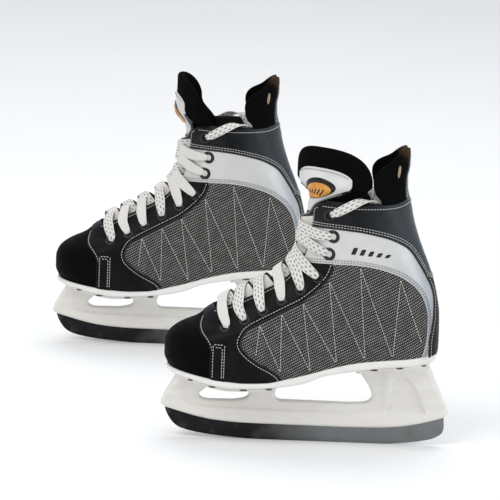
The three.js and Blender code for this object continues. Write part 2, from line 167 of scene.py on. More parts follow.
def beside(line, distance):
    """The line moved sideways, to its left when the distance is positive."""
    line = np.array(line, float)
    along = unit(np.gradient(line, axis=0))
    return line + distance * columns(-along[:, 1], along[:, 0])


FILLET_STEPS = 5


def filleted(corners):
    """Closed outline whose corners (x, z, radius) are rounded."""
    corners = [tuple(c) + (0.0,) * (3 - len(c)) for c in corners]
    outline = []
    for i, (x, z, radius) in enumerate(corners):
        corner = np.array([x, z])
        ends = []
        for other in (corners[i - 1], corners[(i + 1) % len(corners)]):
            step = np.array(other[:2]) - corner
            far = np.linalg.norm(step)
            ends.append(corner + step / far * min(radius, far / 2))
        if radius == 0:
            outline.append(corner)
            continue
        for t in np.linspace(0, 1, FILLET_STEPS + 1):
            outline.append((1 - t) ** 2 * ends[0] + 2 * t * (1 - t) * corner + t * t * ends[1])
    return np.array(outline)


# ---- The boot's surface ------------------------------------------------------------------
FRONT = Smooth([
    (58, -136), (74, -140), (84, -144), (96, -144), (105, -141), (112, -134), (117, -125), (122, -114),
    (130, -104), (138, -94), (148, -76), (158, -57), (168, -40), (180, -25), (195, -15), (212, -10),
    (230, -8), (310, -8),
])
BACK = Smooth([
    (58, 126), (112, 127.6), (136, 126.8), (150, 124.6), (169, 119.8), (188, 112), (211, 102.8), (231, 96.6),
    (248, 93.4), (262, 90.4), (272, 90.2), (284, 92), (296, 91.8), (310, 88),
])
FOOT_HALF = Smooth([(-144, 46), (-110, 49), (-80, 50), (-50, 46), (-10, 39), (30, 36), (128, 36)])
LEG_HALF = Smooth([(110, 39), (135, 40), (170, 37), (195, 38), (225, 42), (250, 44), (272, 41), (310, 26)])
FRONT_ROUNDING = Smooth([(85, 40), (105, 50), (125, 74), (150, 78), (180, 62), (210, 50)])
BACK_ROUNDING = Smooth([(95, 40), (130, 46), (250, 48)])
SOLE_TOP = Smooth([
    (-150, 74), (-138, 73.6), (-116, 71.4), (-85, 67), (-60, 65.4), (-42, 65.8), (-25, 69), (-4, 74),
    (27, 83), (52, 88.6), (76, 91.5), (108, 94.6), (135, 99.5),
])
SOLE_LOW = Smooth([
    (-144, 69.4), (-130, 67.8), (-117, 66.4), (-96, 61.8), (-79, 59.4), (-57, 59.6), (-29, 61.2), (-3, 65.8),
    (15, 73), (48, 79.5), (77, 84), (120, 87.4), (131, 92),
])


TOE_LEAN = 5.0               # the toe leans toward the inner side
FOOT_TO_LEG = (105, 165)     # heights between which the foot's width turns into the leg's
TUCK_HEIGHT = 22             # the upper draws in over this height above the sole
TUCK_SHARE = 0.08


def toe_lean(x):
    return TOE_LEAN * (1 - smoothstep(-140, -50, x))


def half_width(x, z):
    foot = FOOT_HALF(x)
    body = foot + (LEG_HALF(z) - foot) * smoothstep(*FOOT_TO_LEG, z)
    above_sole = np.clip((z - SOLE_TOP(x)) / TUCK_HEIGHT, 0, 1)
    return body * (1 - TUCK_SHARE * (1 - above_sole) ** 2)


def ring_point(z, turn, side):
    """Boot surface at height z; turn runs from 0 at the front middle line to pi at the back one."""
    front, back = FRONT(z), BACK(z)
    x = front + (back - front) * (1 - np.cos(turn)) / 2
    ends = round_end((x - front) / FRONT_ROUNDING(z)) * round_end((back - x) / BACK_ROUNDING(z))
    return columns(x, toe_lean(x) + side * half_width(x, z) * ends, z)


# Chart of the surface: a flat map (across, height) in which distances on the side are nearly true.
CHART_STEP = 2.0
CHART_Z = np.arange(56.0, 311.0, CHART_STEP)
CHART_TURN = np.linspace(0, math.pi, 181)


def _chart():
    z, turn = np.meshgrid(CHART_Z, CHART_TURN, indexing="ij")
    points = ring_point(z, turn, 1.0)
    steps = np.linalg.norm(np.diff(points, axis=1), axis=2)
    arc = np.concatenate([np.zeros((len(CHART_Z), 1)), np.cumsum(steps, axis=1)], axis=1)
    middle = len(CHART_TURN) // 2
    return arc - arc[:, middle:middle + 1] + points[:, middle:middle + 1, 0]


CHART = _chart()


def _rows(z):
    """Chart row below each height, and how far the height is toward the next row."""
    place = np.clip((z - CHART_Z[0]) / CHART_STEP, 0, len(CHART_Z) - 1.001)
    row = place.astype(int)
    return row, place - row


def turn_at(x, z):
    """The turn of the surface at x in the side view."""
    share = np.clip((x - FRONT(z)) / (BACK(z) - FRONT(z)), 0, 1)
    return np.arccos(1 - 2 * share)


def to_chart(line):
    """Side-view points (x, z) as chart points."""
    line = np.array(line, float)
    z = line[:, 1]
    turn = turn_at(line[:, 0], z)
    row, part = _rows(z)
    across = [(1 - p) * np.interp(t, CHART_TURN, CHART[r]) + p * np.interp(t, CHART_TURN, CHART[r + 1])
              for t, r, p in zip(turn, row, part)]
    return columns(across, z)


def turn_in_chart(points):
    """The turn of each chart point."""
    row, part = _rows(points[:, 1])
    low = (1 - part) * CHART[row, 0] + part * CHART[row + 1, 0]
    high = (1 - part) * CHART[row, -1] + part * CHART[row + 1, -1]
    share = np.clip((points[:, 0] - low) / (high - low), 0, 1)
    turn = []
    for s, r, p in zip(share, row, part):
        below, above = CHART[r], CHART[r + 1]
        turn_below = np.interp(below[0] + s * (below[-1] - below[0]), below, CHART_TURN)
        turn_above = np.interp(above[0] + s * (above[-1] - above[0]), above, CHART_TURN)
        turn.append((1 - p) * turn_below + p * turn_above)
    return np.array(turn)


NEAR_MIDDLE = 0.02           # turns this close to the middle line face straight forward or back
TURN_PROBE = 0.01
HEIGHT_PROBE = 0.7


def lifted(z, turn, side, lift):
    """Boot surface moved out along its normal by `lift`, and that normal."""
    turn = np.clip(turn, 0, math.pi)
    side = side + 0.0 * turn
    probed = np.clip(turn, NEAR_MIDDLE, math.pi - NEAR_MIDDLE)
    around = ring_point(z, probed + TURN_PROBE, side) - ring_point(z, probed - TURN_PROBE, side)
    upward = ring_point(z + HEIGHT_PROBE, probed, side) - ring_point(z - HEIGHT_PROBE, probed, side)
    normal = np.cross(around, upward) * -side[..., None]
    normal[..., 1] = np.where(probed == turn, normal[..., 1], 0)
    normal = unit(normal)
    return ring_point(z, turn, side) + normal * np.asarray(lift)[..., None], normal


# ---- Regions: an outline filled with a fine triangle net ---------------------------------
def distance_to(points, segments):
    """Distance from each point to the nearest of the segments (n, 2, 2)."""
    best = np.full(len(points), 1e9)
    for a, b in segments:
        step = b - a
        t = np.clip(((points - a) @ step) / (step @ step + 1e-12), 0, 1)
        best = np.minimum(best, np.linalg.norm(points - a - t[:, None] * step, axis=1))
    return best


def inside(points, loop):
    """Which points lie within a closed loop."""
    hit = np.zeros(len(points), bool)
    x, y = points.T
    for (x0, y0), (x1, y1) in zip(loop, np.roll(loop, -1, axis=0)):
        crosses = (y0 > y) != (y1 > y)
        hit ^= crosses & (x < (x1 - x0) * (y - y0) / (y1 - y0 + 1e-12) + x0)
    return hit


def segments_of(line, closed=False):
    line = np.asarray(line)
    ends = np.roll(line, -1, axis=0) if closed else line[1:]
    starts = line if closed else line[:-1]
    return np.stack([starts, ends], axis=1)


def hex_grid(low, high, step):
    """Rows of points over a rectangle, every second row moved half a step."""
    axes = (np.arange(start, stop, step) for start, stop in zip(low, high))
    grid = np.stack(np.meshgrid(*axes), axis=-1)
    grid[1::2, :, 0] += step / 2
    return grid.reshape(-1, 2)


def edge_rows(edges, rounding):
    """Points on both sides of each edge, where the rounding curves most."""
    rows = []
    for share in (0.18, 0.5, 1.0):
        for a, b in edges:
            along = unit(b - a)
            across = np.array([-along[1], along[0]]) * rounding * share
            rows += [a + across, a - across]
    return np.array(rows)


def thinned(points, spacing):
    """One point for each cell of a grid."""
    cell = np.round(points / spacing).astype(int)
    return points[np.unique(cell, axis=0, return_index=True)[1]]


def counter_clockwise(points, triangles):
    a, b, c = points[triangles].transpose(1, 0, 2)
    turned = (b - a)[:, 0] * (c - a)[:, 1] < (b - a)[:, 1] * (c - a)[:, 0]
    triangles[turned] = triangles[turned][:, ::-1]
    return triangles


CREASE_ROWS = (-0.9, -0.3, 0.3, 0.9)


def net(loop, holes=(), edges=None, step=3.0, rounding=2.0, creases=()):
    """Triangles filling the loop. Returns points, triangles and distance to the rounded edges.

    Creases are lines along which the surface steps, so they get close rows of points too."""
    loops = [loop, *holes]
    border = np.vstack(loops)
    outline = np.vstack([segments_of(each, closed=True) for each in loops])
    edges = outline if edges is None else edges

    def filled(points):
        keep = inside(points, loop)
        for hole in holes:
            keep &= ~inside(points, hole)
        return keep

    def wanted(points, edge_gap, border_gap):
        points = points[filled(points) & (distance_to(points, outline) > border_gap)]
        return points[distance_to(points, edges) > edge_gap] if edge_gap else points

    scattered = [border]
    if len(edges):
        scattered.append(thinned(wanted(edge_rows(edges, rounding), 0, rounding * 0.17), rounding * 0.15))
    far = wanted(hex_grid(border.min(axis=0), border.max(axis=0), step), rounding + step * 0.35, step * 0.35)
    for crease in creases:
        line = resampled(crease, 1.4)
        rows = wanted(np.vstack([beside(line, shift) for shift in CREASE_ROWS]), rounding + 0.4, 0.8)
        far = np.vstack([far[distance_to(far, segments_of(line)) > 1.9], rows])
    constraints, start = [], 0
    for each in loops:
        count = len(each)
        constraints += [(start + i, start + (i + 1) % count) for i in range(count)]
        start += count
    corners = [Vector(point) for point in np.vstack([*scattered, far])]
    made = delaunay_2d_cdt(corners, constraints, [], 0, 1e-5)
    points = np.array([tuple(corner) for corner in made[0]])
    triangles = np.array([face for face in made[2] if len(face) == 3])
    triangles = triangles[filled(points[triangles].mean(axis=1))]
    distance = distance_to(points, edges) if len(edges) else np.full(len(points), 1e3)
    return points, counter_clockwise(points, triangles), distance


def border_edges(triangles):
    """Directed edges that belong to one triangle only."""
    edges = {}
    for a, b, c in triangles.tolist():
        for edge in ((a, b), (b, c), (c, a)):
            edges[edge] = True
    return [edge for edge in edges if (edge[1], edge[0]) not in edges]


class Shape:
    """Vertices (design millimetres), faces and flat map coordinates being gathered for one object."""

    def __init__(self):
        self.points, self.faces, self.flat = [], [], []
        self.count = 0

    def add(self, points, faces, flat=None, flip=False):
        points = np.asarray(points, float)
        flat = points[:, [0, 2]] if flat is None else np.asarray(flat, float)
        for face in faces:
            face = [int(i) + self.count for i in face]
            self.faces.append(face[::-1] if flip else face)
        self.points.append(points)
        self.flat.append(flat)
        self.count += len(points)
        return self

    def join(self, other):
        return self.add(np.vstack(other.points), other.faces, np.vstack(other.flat))


# ---- Panels laid on the boot -------------------------------------------------------------
def region_loop(parts):
    """Joins side-view lines [(line, kind)] into one chart loop; kind "edge" is a free rounded edge."""
    loop, edges = [], []
    for line, kind in parts:
        chart = to_chart(line)
        if kind == "edge":
            edges.append(segments_of(chart))
        loop.append(chart[:-1] if np.allclose(line[-1], parts[0][0][0]) else chart)
    loop = np.vstack(loop)
    keep = np.linalg.norm(loop - np.roll(loop, 1, axis=0), axis=1) > 0.05
    return loop[keep], np.vstack(edges) if edges else np.zeros((0, 2, 2))


OPEN_EDGE = 1.6              # an open sheet's edge turns down by this much
PUFF_REACH = 14              # a stuffed panel swells over this distance from its edge


def panel(parts, outer, rounding=1.0, inner=None, step=3.0, puff=0.0):
    """A sheet on the boot: its face lies `outer` above the surface; `inner`, if given, closes its back."""
    loop, edges = region_loop(parts)
    points, triangles, distance = net(loop, (), edges, step, rounding)
    turn = turn_in_chart(points)
    full = round_end(distance / rounding)
    swell = puff * smoothstep(0, PUFF_REACH, distance)
    depth = outer - OPEN_EDGE if inner is None else (outer + inner) / 2
    shape = Shape()
    for side in SIDES:
        face, _ = lifted(points[:, 1], turn, side, depth + (outer - depth) * full + swell)
        shape.add(face, triangles, points, flip=side > 0)
        if inner is None:
            continue
        back, _ = lifted(points[:, 1], turn, side, depth + (inner - depth) * full)
        shape.add(back, triangles, points, flip=side < 0)
    return shape


def raised(shape, loop, sides, base, rise, step, rounding):
    """A small plate with rounded edges on the boot, from `base` at its edge to `base + rise` above it."""
    points, triangles, distance = net(loop, (), None, step, rounding)
    lift = base + rise * round_end(distance / rounding)
    for side in sides:
        face, _ = lifted(points[:, 1], turn_in_chart(points), side, lift)
        shape.add(face, triangles, points, flip=side > 0)
    return shape


def spaced(start, end, spacing):
    return np.linspace(start, end, max(3, int(abs(end - start) / spacing)))


def sole_line(start, end):
    """Hidden lower edge of a panel, a little under the top of the sole."""
    x = spaced(start, end, 4)
    return columns(x, SOLE_TOP(x) - 2.0)


def front_middle(low, high):
    z = spaced(low, high, 2.5)
    return columns(FRONT(z), z)


def back_middle(low, high):
    z = spaced(low, high, 4)
    return columns(BACK(z), z)


CAP_LINE = flowing([
    (-98.5, 66), (-98.5, 84), (-98.5, 98), (-101.5, 105.5), (-107, 111), (-110, 116.2), (-109.2, 121),
    (-106.2, 126), (FRONT(129.5), 129.5),
])
THROAT_LOW = flowing([
    (FRONT(136.2), 136.2), (-93, 134.6), (-79, 140), (-59, 149.8), (-46, 156.4), (-26, 168.6), (-12, 185),
])
THROAT_BAND = flowing([(-12, 185), (-7, 194), (-3.6, 205), (-1, 223)])
THROAT_TOP = flowing([(-1, 223), (-0.8, 236), (0.6, 243.2), (8, 248)])
TOP_EDGE = flowing([(8, 248), (40, 248.2), (76, 248.4), (86, 250), (BACK(252), 252)])
QUARTER_LINE = flowing([
    (-25, 66.5), (-30.5, 74.5), (-39.5, 80.7), (-49.3, 86), (-59.3, 93.1), (-66.4, 100.4), (-68.6, 107),
    (-66.5, 113), (-60.7, 119.9), (-48.6, 127.2), (-32.8, 135.7), (-18.8, 143.1), (-8.5, 148.8), (5.3, 160.1),
    (14.4, 170.1), (18.8, 178), (21.3, 186.3),
])
BAND_LOW = flowing([
    (-12, 185), (3, 185.6), (21.3, 186.3), (42, 186.4), (61.5, 184.1), (77, 180), (89, 174.8), (101, 166),
    (109.5, 155), (114.5, 141), (115.6, 130), (115.2, 112), (112.6, 100), (110, 91),
])
BAND_HIGH = flowing([
    (-1, 223), (15, 223.3), (30, 223), (50, 221), (71, 216), (84.4, 210), (95, 202), (104.4, 188.3),
    (113, 173.4), (118.3, 162), (120.8, 149.8), (120.9, 130.7), (118.4, 112), (118.4, 100), (118.6, 93),
])
EYELETS = [(-83.7, 119.6), (-65, 128.3), (-47.3, 137.8), (-29.1, 148.3), (-10.9, 159.2), (5.6, 172.5),
           (15.8, 197), (19.3, 215), (15.6, 236.1)]
BAND_SPLIT = int(np.argmin(np.abs(BAND_HIGH[:, 1] - 173.4) + np.abs(BAND_HIGH[:, 0] - 113)))
CUFF_LOW = np.vstack([BAND_HIGH[:BAND_SPLIT], [(116.5, 170.8), (BACK(170), 170)]])
QUARTER_IN_BAND = int(np.argmin(np.linalg.norm(BAND_LOW - QUARTER_LINE[-1], axis=1)))
OVERLAP = 2.5                # how far a sheet runs on under its neighbour
UNDER_VAMP = beside(QUARTER_LINE, OVERLAP)
UNDER_BAND = beside(BAND_LOW, OVERLAP)
CAP_UNDER = beside(CAP_LINE, -OVERLAP)
CAP_UNDER[-1] = (FRONT(131.5), 131.5)


def padded_lining():
    throat = np.vstack([THROAT_LOW, THROAT_BAND, THROAT_TOP])
    return panel([
        (sole_line(-140, 126), "hidden"), (back_middle(97, 250), "middle"),
        (beside(TOP_EDGE, 1.2)[::-1], "edge"), (beside(throat, -1.2)[::-1], "edge"),
        (front_middle(135, 72), "middle"),
    ], -1.4, 2.3, inner=-6.2, step=3.6)


def toe_cap():
    return panel([
        (front_middle(72, 131.5)[::-1], "middle"), (sole_line(-140, CAP_UNDER[0][0]), "hidden"),
        (CAP_UNDER, "hidden"),
    ], -0.1, 1.0)


def vamp():
    return panel([
        (sole_line(CAP_LINE[0][0], QUARTER_LINE[0][0]), "hidden"), (QUARTER_LINE, "edge"),
        (UNDER_BAND[:QUARTER_IN_BAND + 1][::-1], "hidden"), (THROAT_LOW[::-1], "edge"),
        (front_middle(136.2, 129.5), "middle"), (CAP_LINE[::-1], "edge"),
    ], 0.6, 0.9)


def quarter():
    return panel([
        (sole_line(UNDER_VAMP[0][0], 111), "hidden"), (UNDER_BAND[QUARTER_IN_BAND - 1:][::-1], "hidden"),
        (UNDER_VAMP[::-1], "hidden"),
    ], -0.3, 0.8, puff=0.7)


def ankle_band():
    return panel([
        (BAND_LOW, "edge"), (sole_line(112, 119), "hidden"), (beside(BAND_HIGH, 1.4)[::-1], "hidden"),
        (THROAT_BAND[::-1], "edge"),
    ], 0.6, 0.9, puff=0.3)


def cuff():
    return panel([
        (CUFF_LOW, "edge"), (back_middle(170, 252), "middle"), (TOP_EDGE[::-1], "edge"),
        (THROAT_TOP[::-1], "edge"),
    ], 1.2, 1.0, puff=0.8)


def backstay():
    return panel([
        (BAND_HIGH[BAND_SPLIT:], "edge"), (sole_line(119, 126), "hidden"), (back_middle(98, 175), "middle"),
        (np.array([(BACK(175), 175), (112.6, 174.5)]), "hidden"),
    ], 1.3, 0.8)


def toe_strap():
    corners = filleted([(-96.6, 64), (-82, 64), (-82, 106.5, 2.5), (-96.6, 106.5, 2.5)])
    free = resampled(np.vstack([corners[1:], corners[:1]]), 1.5)
    return panel([(free, "edge")], 1.5, 0.8)


def both(piece):
    """The CAD nodes of a piece that has an outer and an inner half."""
    return [f"{piece}_lateral", f"{piece}_medial"]


def upper_pieces():
    """Every sewn piece of the boot's upper as {name: (shape, material, CAD nodes it stands for)}."""
    return {
        "padded_lining": (padded_lining(), "lining", ["liner"]),
        "toe_cap_moulding": (toe_cap(), "moulding", ["toe_cap"]),
        "vamp_leather": (vamp(), "leather", ["vamp"]),
        "quarter_fabric": (quarter(), "weave", both("quarter")),
        "ankle_band_leather": (ankle_band(), "silver", both("ankle_band")),
        "cuff_leather": (cuff(), "cuff", ["cuff"]),
        "backstay_leather": (backstay(), "leather", ["backstay"]),
        "toe_strap_leather": (toe_strap(), "leather", both("toe_strap")),
    }


# ---- Threads, tubes and rings ------------------------------------------------------------
def up_and_across(points, normals):
    """Upward and sideways directions at each point of a line."""
    tangent = unit(np.gradient(points, axis=0))
    across = unit(np.cross(tangent, normals))
    return np.cross(across, tangent), across


def sweep(shape, points, normals, profile, flat_shift=0.0):
    """Sweeps a closed profile (n, 2) of (across, up) along a line; u runs along it and v round it."""
    points = np.asarray(points, float)
    up, across = up_and_across(points, normals)
    profile = np.asarray(profile, float)
    if profile.ndim == 2:
        profile = np.repeat(profile[None], len(points), axis=0)
    rings = points[:, None] + profile[..., :1] * across[:, None] + profile[..., 1:] * up[:, None]
    count, sides = rings.shape[:2]
    flat = columns(np.repeat(run_along(points), sides), profile[..., 0].reshape(-1) + flat_shift)
    faces = []
    for i in range(count - 1):
        for k in range(sides):
            a, b = i * sides + k, i * sides + (k + 1) % sides
            faces.append((a, a + sides, b + sides, b))
    faces += [tuple(range(sides)), tuple((count - 1) * sides + k for k in range(sides))[::-1]]
    return shape.add(rings.reshape(-1, 3), faces, flat)


def circle(radius, sides):
    turn = turns(sides)
    return columns(radius * np.cos(turn), radius * np.sin(turn))


def ring_faces(rows, count):
    """Walls between neighbouring rings of `count` points."""
    faces = []
    for ring in range(0, (rows - 1) * count, count):
        for i in range(count):
            after = (i + 1) % count
            faces.append((ring + i, ring + after, ring + count + after, ring + count + i))
    return faces


STITCH_AT = np.array([0, 0.14, 0.5, 0.86, 1])            # along one stitch
STITCH_RISE = np.array([-0.7, 0.4, 0.7, 0.4, -0.7])      # in radii: the ends dip into the sheet
STITCH_SIZE = np.array([0.3, 0.95, 1.0, 0.95, 0.3])
STITCH_SIDES = 5


def stitched(shape, points, normals, pitch=STITCH_PITCH, length=STITCH_LENGTH):
    """Separate thread stitches along a line."""
    run = run_along(points)
    profile = circle(STITCH_RADIUS, STITCH_SIDES)[None] * STITCH_SIZE[:, None, None]
    for start in np.arange(0.3, run[-1] - length, pitch):
        at = start + length * STITCH_AT
        out = at_distances(normals, run, at)
        spots = at_distances(points, run, at) + out * (STITCH_RADIUS * STITCH_RISE)[:, None]
        sweep(shape, spots, out, profile)
    return shape


SOFTEN_REACH = 2


def softened(line):
    """The line with its corners eased by averaging each point with its neighbours."""
    line = np.asarray(line, float)
    padded = np.vstack([np.repeat(line[:1], SOFTEN_REACH, 0), line, np.repeat(line[-1:], SOFTEN_REACH, 0)])
    width = 2 * SOFTEN_REACH + 1
    kernel = np.ones(width) / width
    return np.stack([np.convolve(column, kernel, mode="valid") for column in padded.T], axis=1)


SEAM_STEP = 1.2


def laid(line, offset, side, lift):
    """Side-view line laid on the boot, moved `offset` to its left along the surface."""
    chart = resampled(to_chart(resampled(line, SEAM_STEP)), SEAM_STEP)
    chart = resampled(beside(softened(chart), offset), SEAM_STEP)
    return lifted(chart[:, 1], turn_in_chart(chart), side, lift)


def sewn(rows, lift, **pace):
    """Rows of stitches; each row is (side-view line, offset)."""
    shape = Shape()
    for line, offset in rows:
        for side in SIDES:
            stitched(shape, *laid(line, offset, side, lift), **pace)
    return shape


def piping(line, lift, radius):
    shape = Shape()
    for side in SIDES:
        sweep(shape, *laid(line, 0.0, side, lift), circle(radius, 8))
    return shape


def zigzag():
    """Stitch lines that run up and down across the quarter."""
    tops = [(-50, 124.5), (-28.8, 136), (-8, 147), (17, 170), (47.1, 184.6), (86.9, 174)]
    bottoms = [(-52.9, 91), (-28, 77.5), (2, 78), (27.8, 85.6), (55.6, 91), (83, 94), (111, 108.4)]
    lines = []
    for i, top in enumerate(tops):
        for bottom in bottoms[i:i + 2]:
            lines.append(np.array([top, bottom]))
    return lines


def trimmed(line, start, end):
    """The part of a line between two shares of its points."""
    count = len(line)
    return line[int(start * count):max(int(end * count), 2)]


def strap_rows():
    """Side-view stitch lines of the toe strap."""
    front, back, low, high = -94.6, -83.4, 70, 104.4
    return [
        ([(front, low), (front, 104.2)], 0.0), ([(-85.6, low), (-85.6, 101.5)], 0.0),
        ([(back, low), (back, high)], 0.0), ([(front, high), (-83.6, high)], 0.0),
        ([(-93, 101.6), (-85.8, 101.6)], 0.0),
    ]


def white_stitching():
    white = sewn([
        (QUARTER_LINE, 3.0), (trimmed(THROAT_LOW, 0.04, 0.97), -3.0), (trimmed(CAP_LINE, 0.18, 0.97), -2.6),
    ], 0.75)
    white.join(sewn(strap_rows(), 1.65))
    white.join(sewn([
        (CUFF_LOW, 1.9), (CUFF_LOW, 4.2), (TOP_EDGE, -3.6), (trimmed(THROAT_TOP, 0.12, 0.9), -3.2),
    ], 2.0))
    return white.join(sewn([(BAND_HIGH[BAND_SPLIT + 2:], 2.4)], 1.45))


def seams():
    """Thread and piping as {name: (shape, material, no CAD nodes)}."""
    throat = np.vstack([THROAT_LOW, THROAT_BAND[1:]])
    grey = sewn([(BAND_LOW[3:], 2.4), (BAND_LOW[3:], 4.6)], 0.95)
    crossed = sewn([(line, 0.0) for line in zigzag()], 0.65, pitch=3.4, length=2.5)
    return {
        "stitching_white": (white_stitching(), "thread_white", []),
        "stitching_grey": (grey, "thread_grey", []),
        "zigzag_stitching": (crossed, "thread_white", []),
        "quarter_piping": (piping(QUARTER_LINE[:-1], 0.5, 0.85), "piping", []),
        "cuff_piping": (piping(BAND_HIGH, 1.0, 1.0), "piping", []),
        "throat_binding": (piping(throat[2:], -0.4, 0.8), "piping", []),
    }


EYELET_POINTS = 28
LARGE_EYELETS_FROM = 6       # the eyelets of the band and the cuff are larger
CUFF_EYELETS_FROM = 8        # the top pair sits in the cuff
VAMP_LIFT = 0.6
CUFF_LIFT = 1.9


def eyelet_lift(number):
    """How far the sheet round an eyelet lies off the boot."""
    return VAMP_LIFT if number < CUFF_EYELETS_FROM else CUFF_LIFT


def eyelet_rings():
    shape = Shape()
    cap = tuple(range(EYELET_POINTS))[::-1]
    turn = turns(EYELET_POINTS)[:, None]
    for number, (x, z) in enumerate(EYELETS):
        outer = 6.1 if number < LARGE_EYELETS_FROM else 6.7
        profile = [
            (3.3, -1.2), (3.3, 0.7), (3.8, 1.25), (4.6, 1.35),
            (outer - 0.5, 0.95), (outer, 0.2), (outer, -0.6),
        ]
        for side in SIDES:
            centre, normal = lifted(np.array([z]), turn_at(np.array([x]), z), side, eyelet_lift(number))
            first = unit(np.cross(normal[0], (0, 0, 1.0)))
            second = np.cross(normal[0], first)
            spokes = np.cos(turn) * first + np.sin(turn) * second
            points = np.vstack([centre[0] + spokes * r + normal[0] * h for r, h in profile])
            shape.add(points, [*ring_faces(len(profile), EYELET_POINTS), cap], flip=True)
    return shape


# ---- Lace --------------------------------------------------------------------------------
def throat_behind(z):
    """How far the throat's edge lies behind the front middle line."""
    throat = np.vstack([THROAT_LOW[1:], THROAT_BAND[1:], THROAT_TOP[1:]])
    return np.interp(z, throat[:, 1], throat[:, 0]) - FRONT(z)


LACE_SIDES = 14


def lace_profile():
    """Flat oval section of the lace."""
    turn = turns(LACE_SIDES)
    across = LACE_WIDTH / 2 * np.sign(np.cos(turn)) * np.abs(np.cos(turn)) ** 0.6
    up = LACE_THICKNESS / 2 * np.sign(np.sin(turn)) * np.abs(np.sin(turn)) ** 0.8
    return columns(across, up)


LACE_PROFILE = lace_profile()
PLAIN_SIDE = 100.0           # flat-map shift that takes a strand off the tracer rows
PLAIN_OUTER_ROWS = (0, 3)    # rows whose outer strand shows the lace's plain side


def gathered(width):
    """The lace's section along a strand: thicker where it is gathered narrower."""
    return LACE_PROFILE[None] * columns(width, 2 - width)[:, None]


def crossing_height(low, high):
    """Height at which a strand between two eyelets crosses the middle line, square to the throat."""
    start, end = np.array(EYELETS[low]), np.array(EYELETS[high])
    along = unit(end - start)
    out = np.linspace(0, 45, 181)
    x = (start[0] + end[0]) / 2 - out * along[1]
    z = (start[1] + end[1]) / 2 + out * along[0]
    return z[np.argmax(x <= FRONT(z))]


def lace_strand(shape, low, high, side, crown, plain):
    """From eyelet `low` on one side, over the throat, and under the other side to eyelet `high`."""
    (x0, z0), (x1, z1) = EYELETS[low], EYELETS[high]
    reach0, reach1 = x0 - FRONT(z0), x1 - FRONT(z1)
    middle = crossing_height(low, high)

    def route(across):
        z = middle + across**2 * ((z0 + z1) / 2 - middle) + across * (z1 - z0) / 2
        reach = reach0 + (reach1 - reach0) * (across + 1) / 2
        return z, reach * across**2

    search = np.linspace(-1, 0, 101)
    z, behind = route(search)
    edge = -search[np.argmax(behind < throat_behind(z))]
    ground = eyelet_lift(low)
    lifts = Smooth([
        (-1.0, ground - 1.6), (-0.95, ground + 1.2), (-0.5 - edge / 2, ground + 3.4), (-edge, ground + 2.6),
        (-edge * 0.4, crown), (0.1, crown - 0.4), (edge * 0.75, -3.5), (edge + 0.1, -8.2), (1.0, -9.0),
    ])
    end = min(edge + 0.22, 0.95)
    across = np.concatenate([np.linspace(-1, -0.88, 6)[:-1], np.linspace(-0.88, end, 34)])
    z, behind = route(across)
    turn = turn_at(FRONT(z) + behind, z)
    sides = np.where(across < 0, side, -side)
    points, _ = lifted(z, turn, sides, lifts(across))
    _, normals = lifted(z, np.maximum(turn, 0.05), sides, 0.0)
    normals[:, 1] *= smoothstep(0, 0.25, np.abs(across))
    width = np.interp(across, [-1.0, -0.9, -0.7, -0.4], [0.55, 0.8, 1.02, 1.0])
    return sweep(shape, points, unit(softened(normals)), gathered(width), PLAIN_SIDE if plain else 0.0)


# Top end of the lace: (x, height, lift off the boot, turn of its face from outward to inward in degrees).
TAIL_ROUTE = np.array([
    (15.6, 236, -0.6, 0), (18, 237.4, 2.4, 0), (23.5, 240.6, 4.4, 4), (31, 245.4, 5.0, 15),
    (39, 250, 3.6, 38), (47, 252.6, 0.0, 72), (55, 252, -4.2, 108), (61.5, 247.6, -7.6, 140),
    (65.5, 239, -9.6, 165), (67.5, 227, -10.4, 180), (68.5, 213, -10.6, 180),
], float)


def lace_tail(shape, side):
    """From the top eyelet up over the collar and down inside the boot."""
    x, z, lift, turned = TAIL_ROUTE.T
    points, normals = lifted(z, turn_at(x, z), side, lift)
    turned = np.radians(turned)[:, None]
    normals = normals * np.cos(turned) + np.array([0, 0, 1.0]) * np.sin(turned)
    route = flowing(np.hstack([points, normals]), 1.5)
    points, normals = route[:, :3], route[:, 3:]
    width = np.interp(np.arange(len(points)), [0, 3, 8, 22], [0.45, 0.6, 0.78, 0.88])
    return sweep(shape, points, unit(normals), gathered(width))


def lace():
    """Both ends of the lace, crossing between each two pairs of eyelets."""
    shape = Shape()
    for row in range(len(EYELETS) - 1):
        bulge = 2.0 if row >= LARGE_EYELETS_FROM else 0.0
        plain = row in PLAIN_OUTER_ROWS
        lace_strand(shape, row, row + 1, -1, 4.6 + bulge, plain)
        lace_strand(shape, row, row + 1, 1, 2.7 + bulge, not plain)
    for side in SIDES:
        lace_tail(shape, side)
    return shape


# ---- Tongue ------------------------------------------------------------------------------
TONGUE_RADIUS = 62.0
TONGUE_HALF_ANGLE = math.radians(52)
TONGUE_THICKNESS = 7.0
TONGUE_TOP = 301.0
TONGUE_FOOT = 124.0
TONGUE_REACH = 56.3          # millimetres round the front from the middle to the edge
TONGUE_FLAT = 46.0           # flat-map millimetres for the same
TONGUES = {"left": (math.radians(50), (4.0, -24.0)), "right": (0.0, (-18.0, 0.0))}


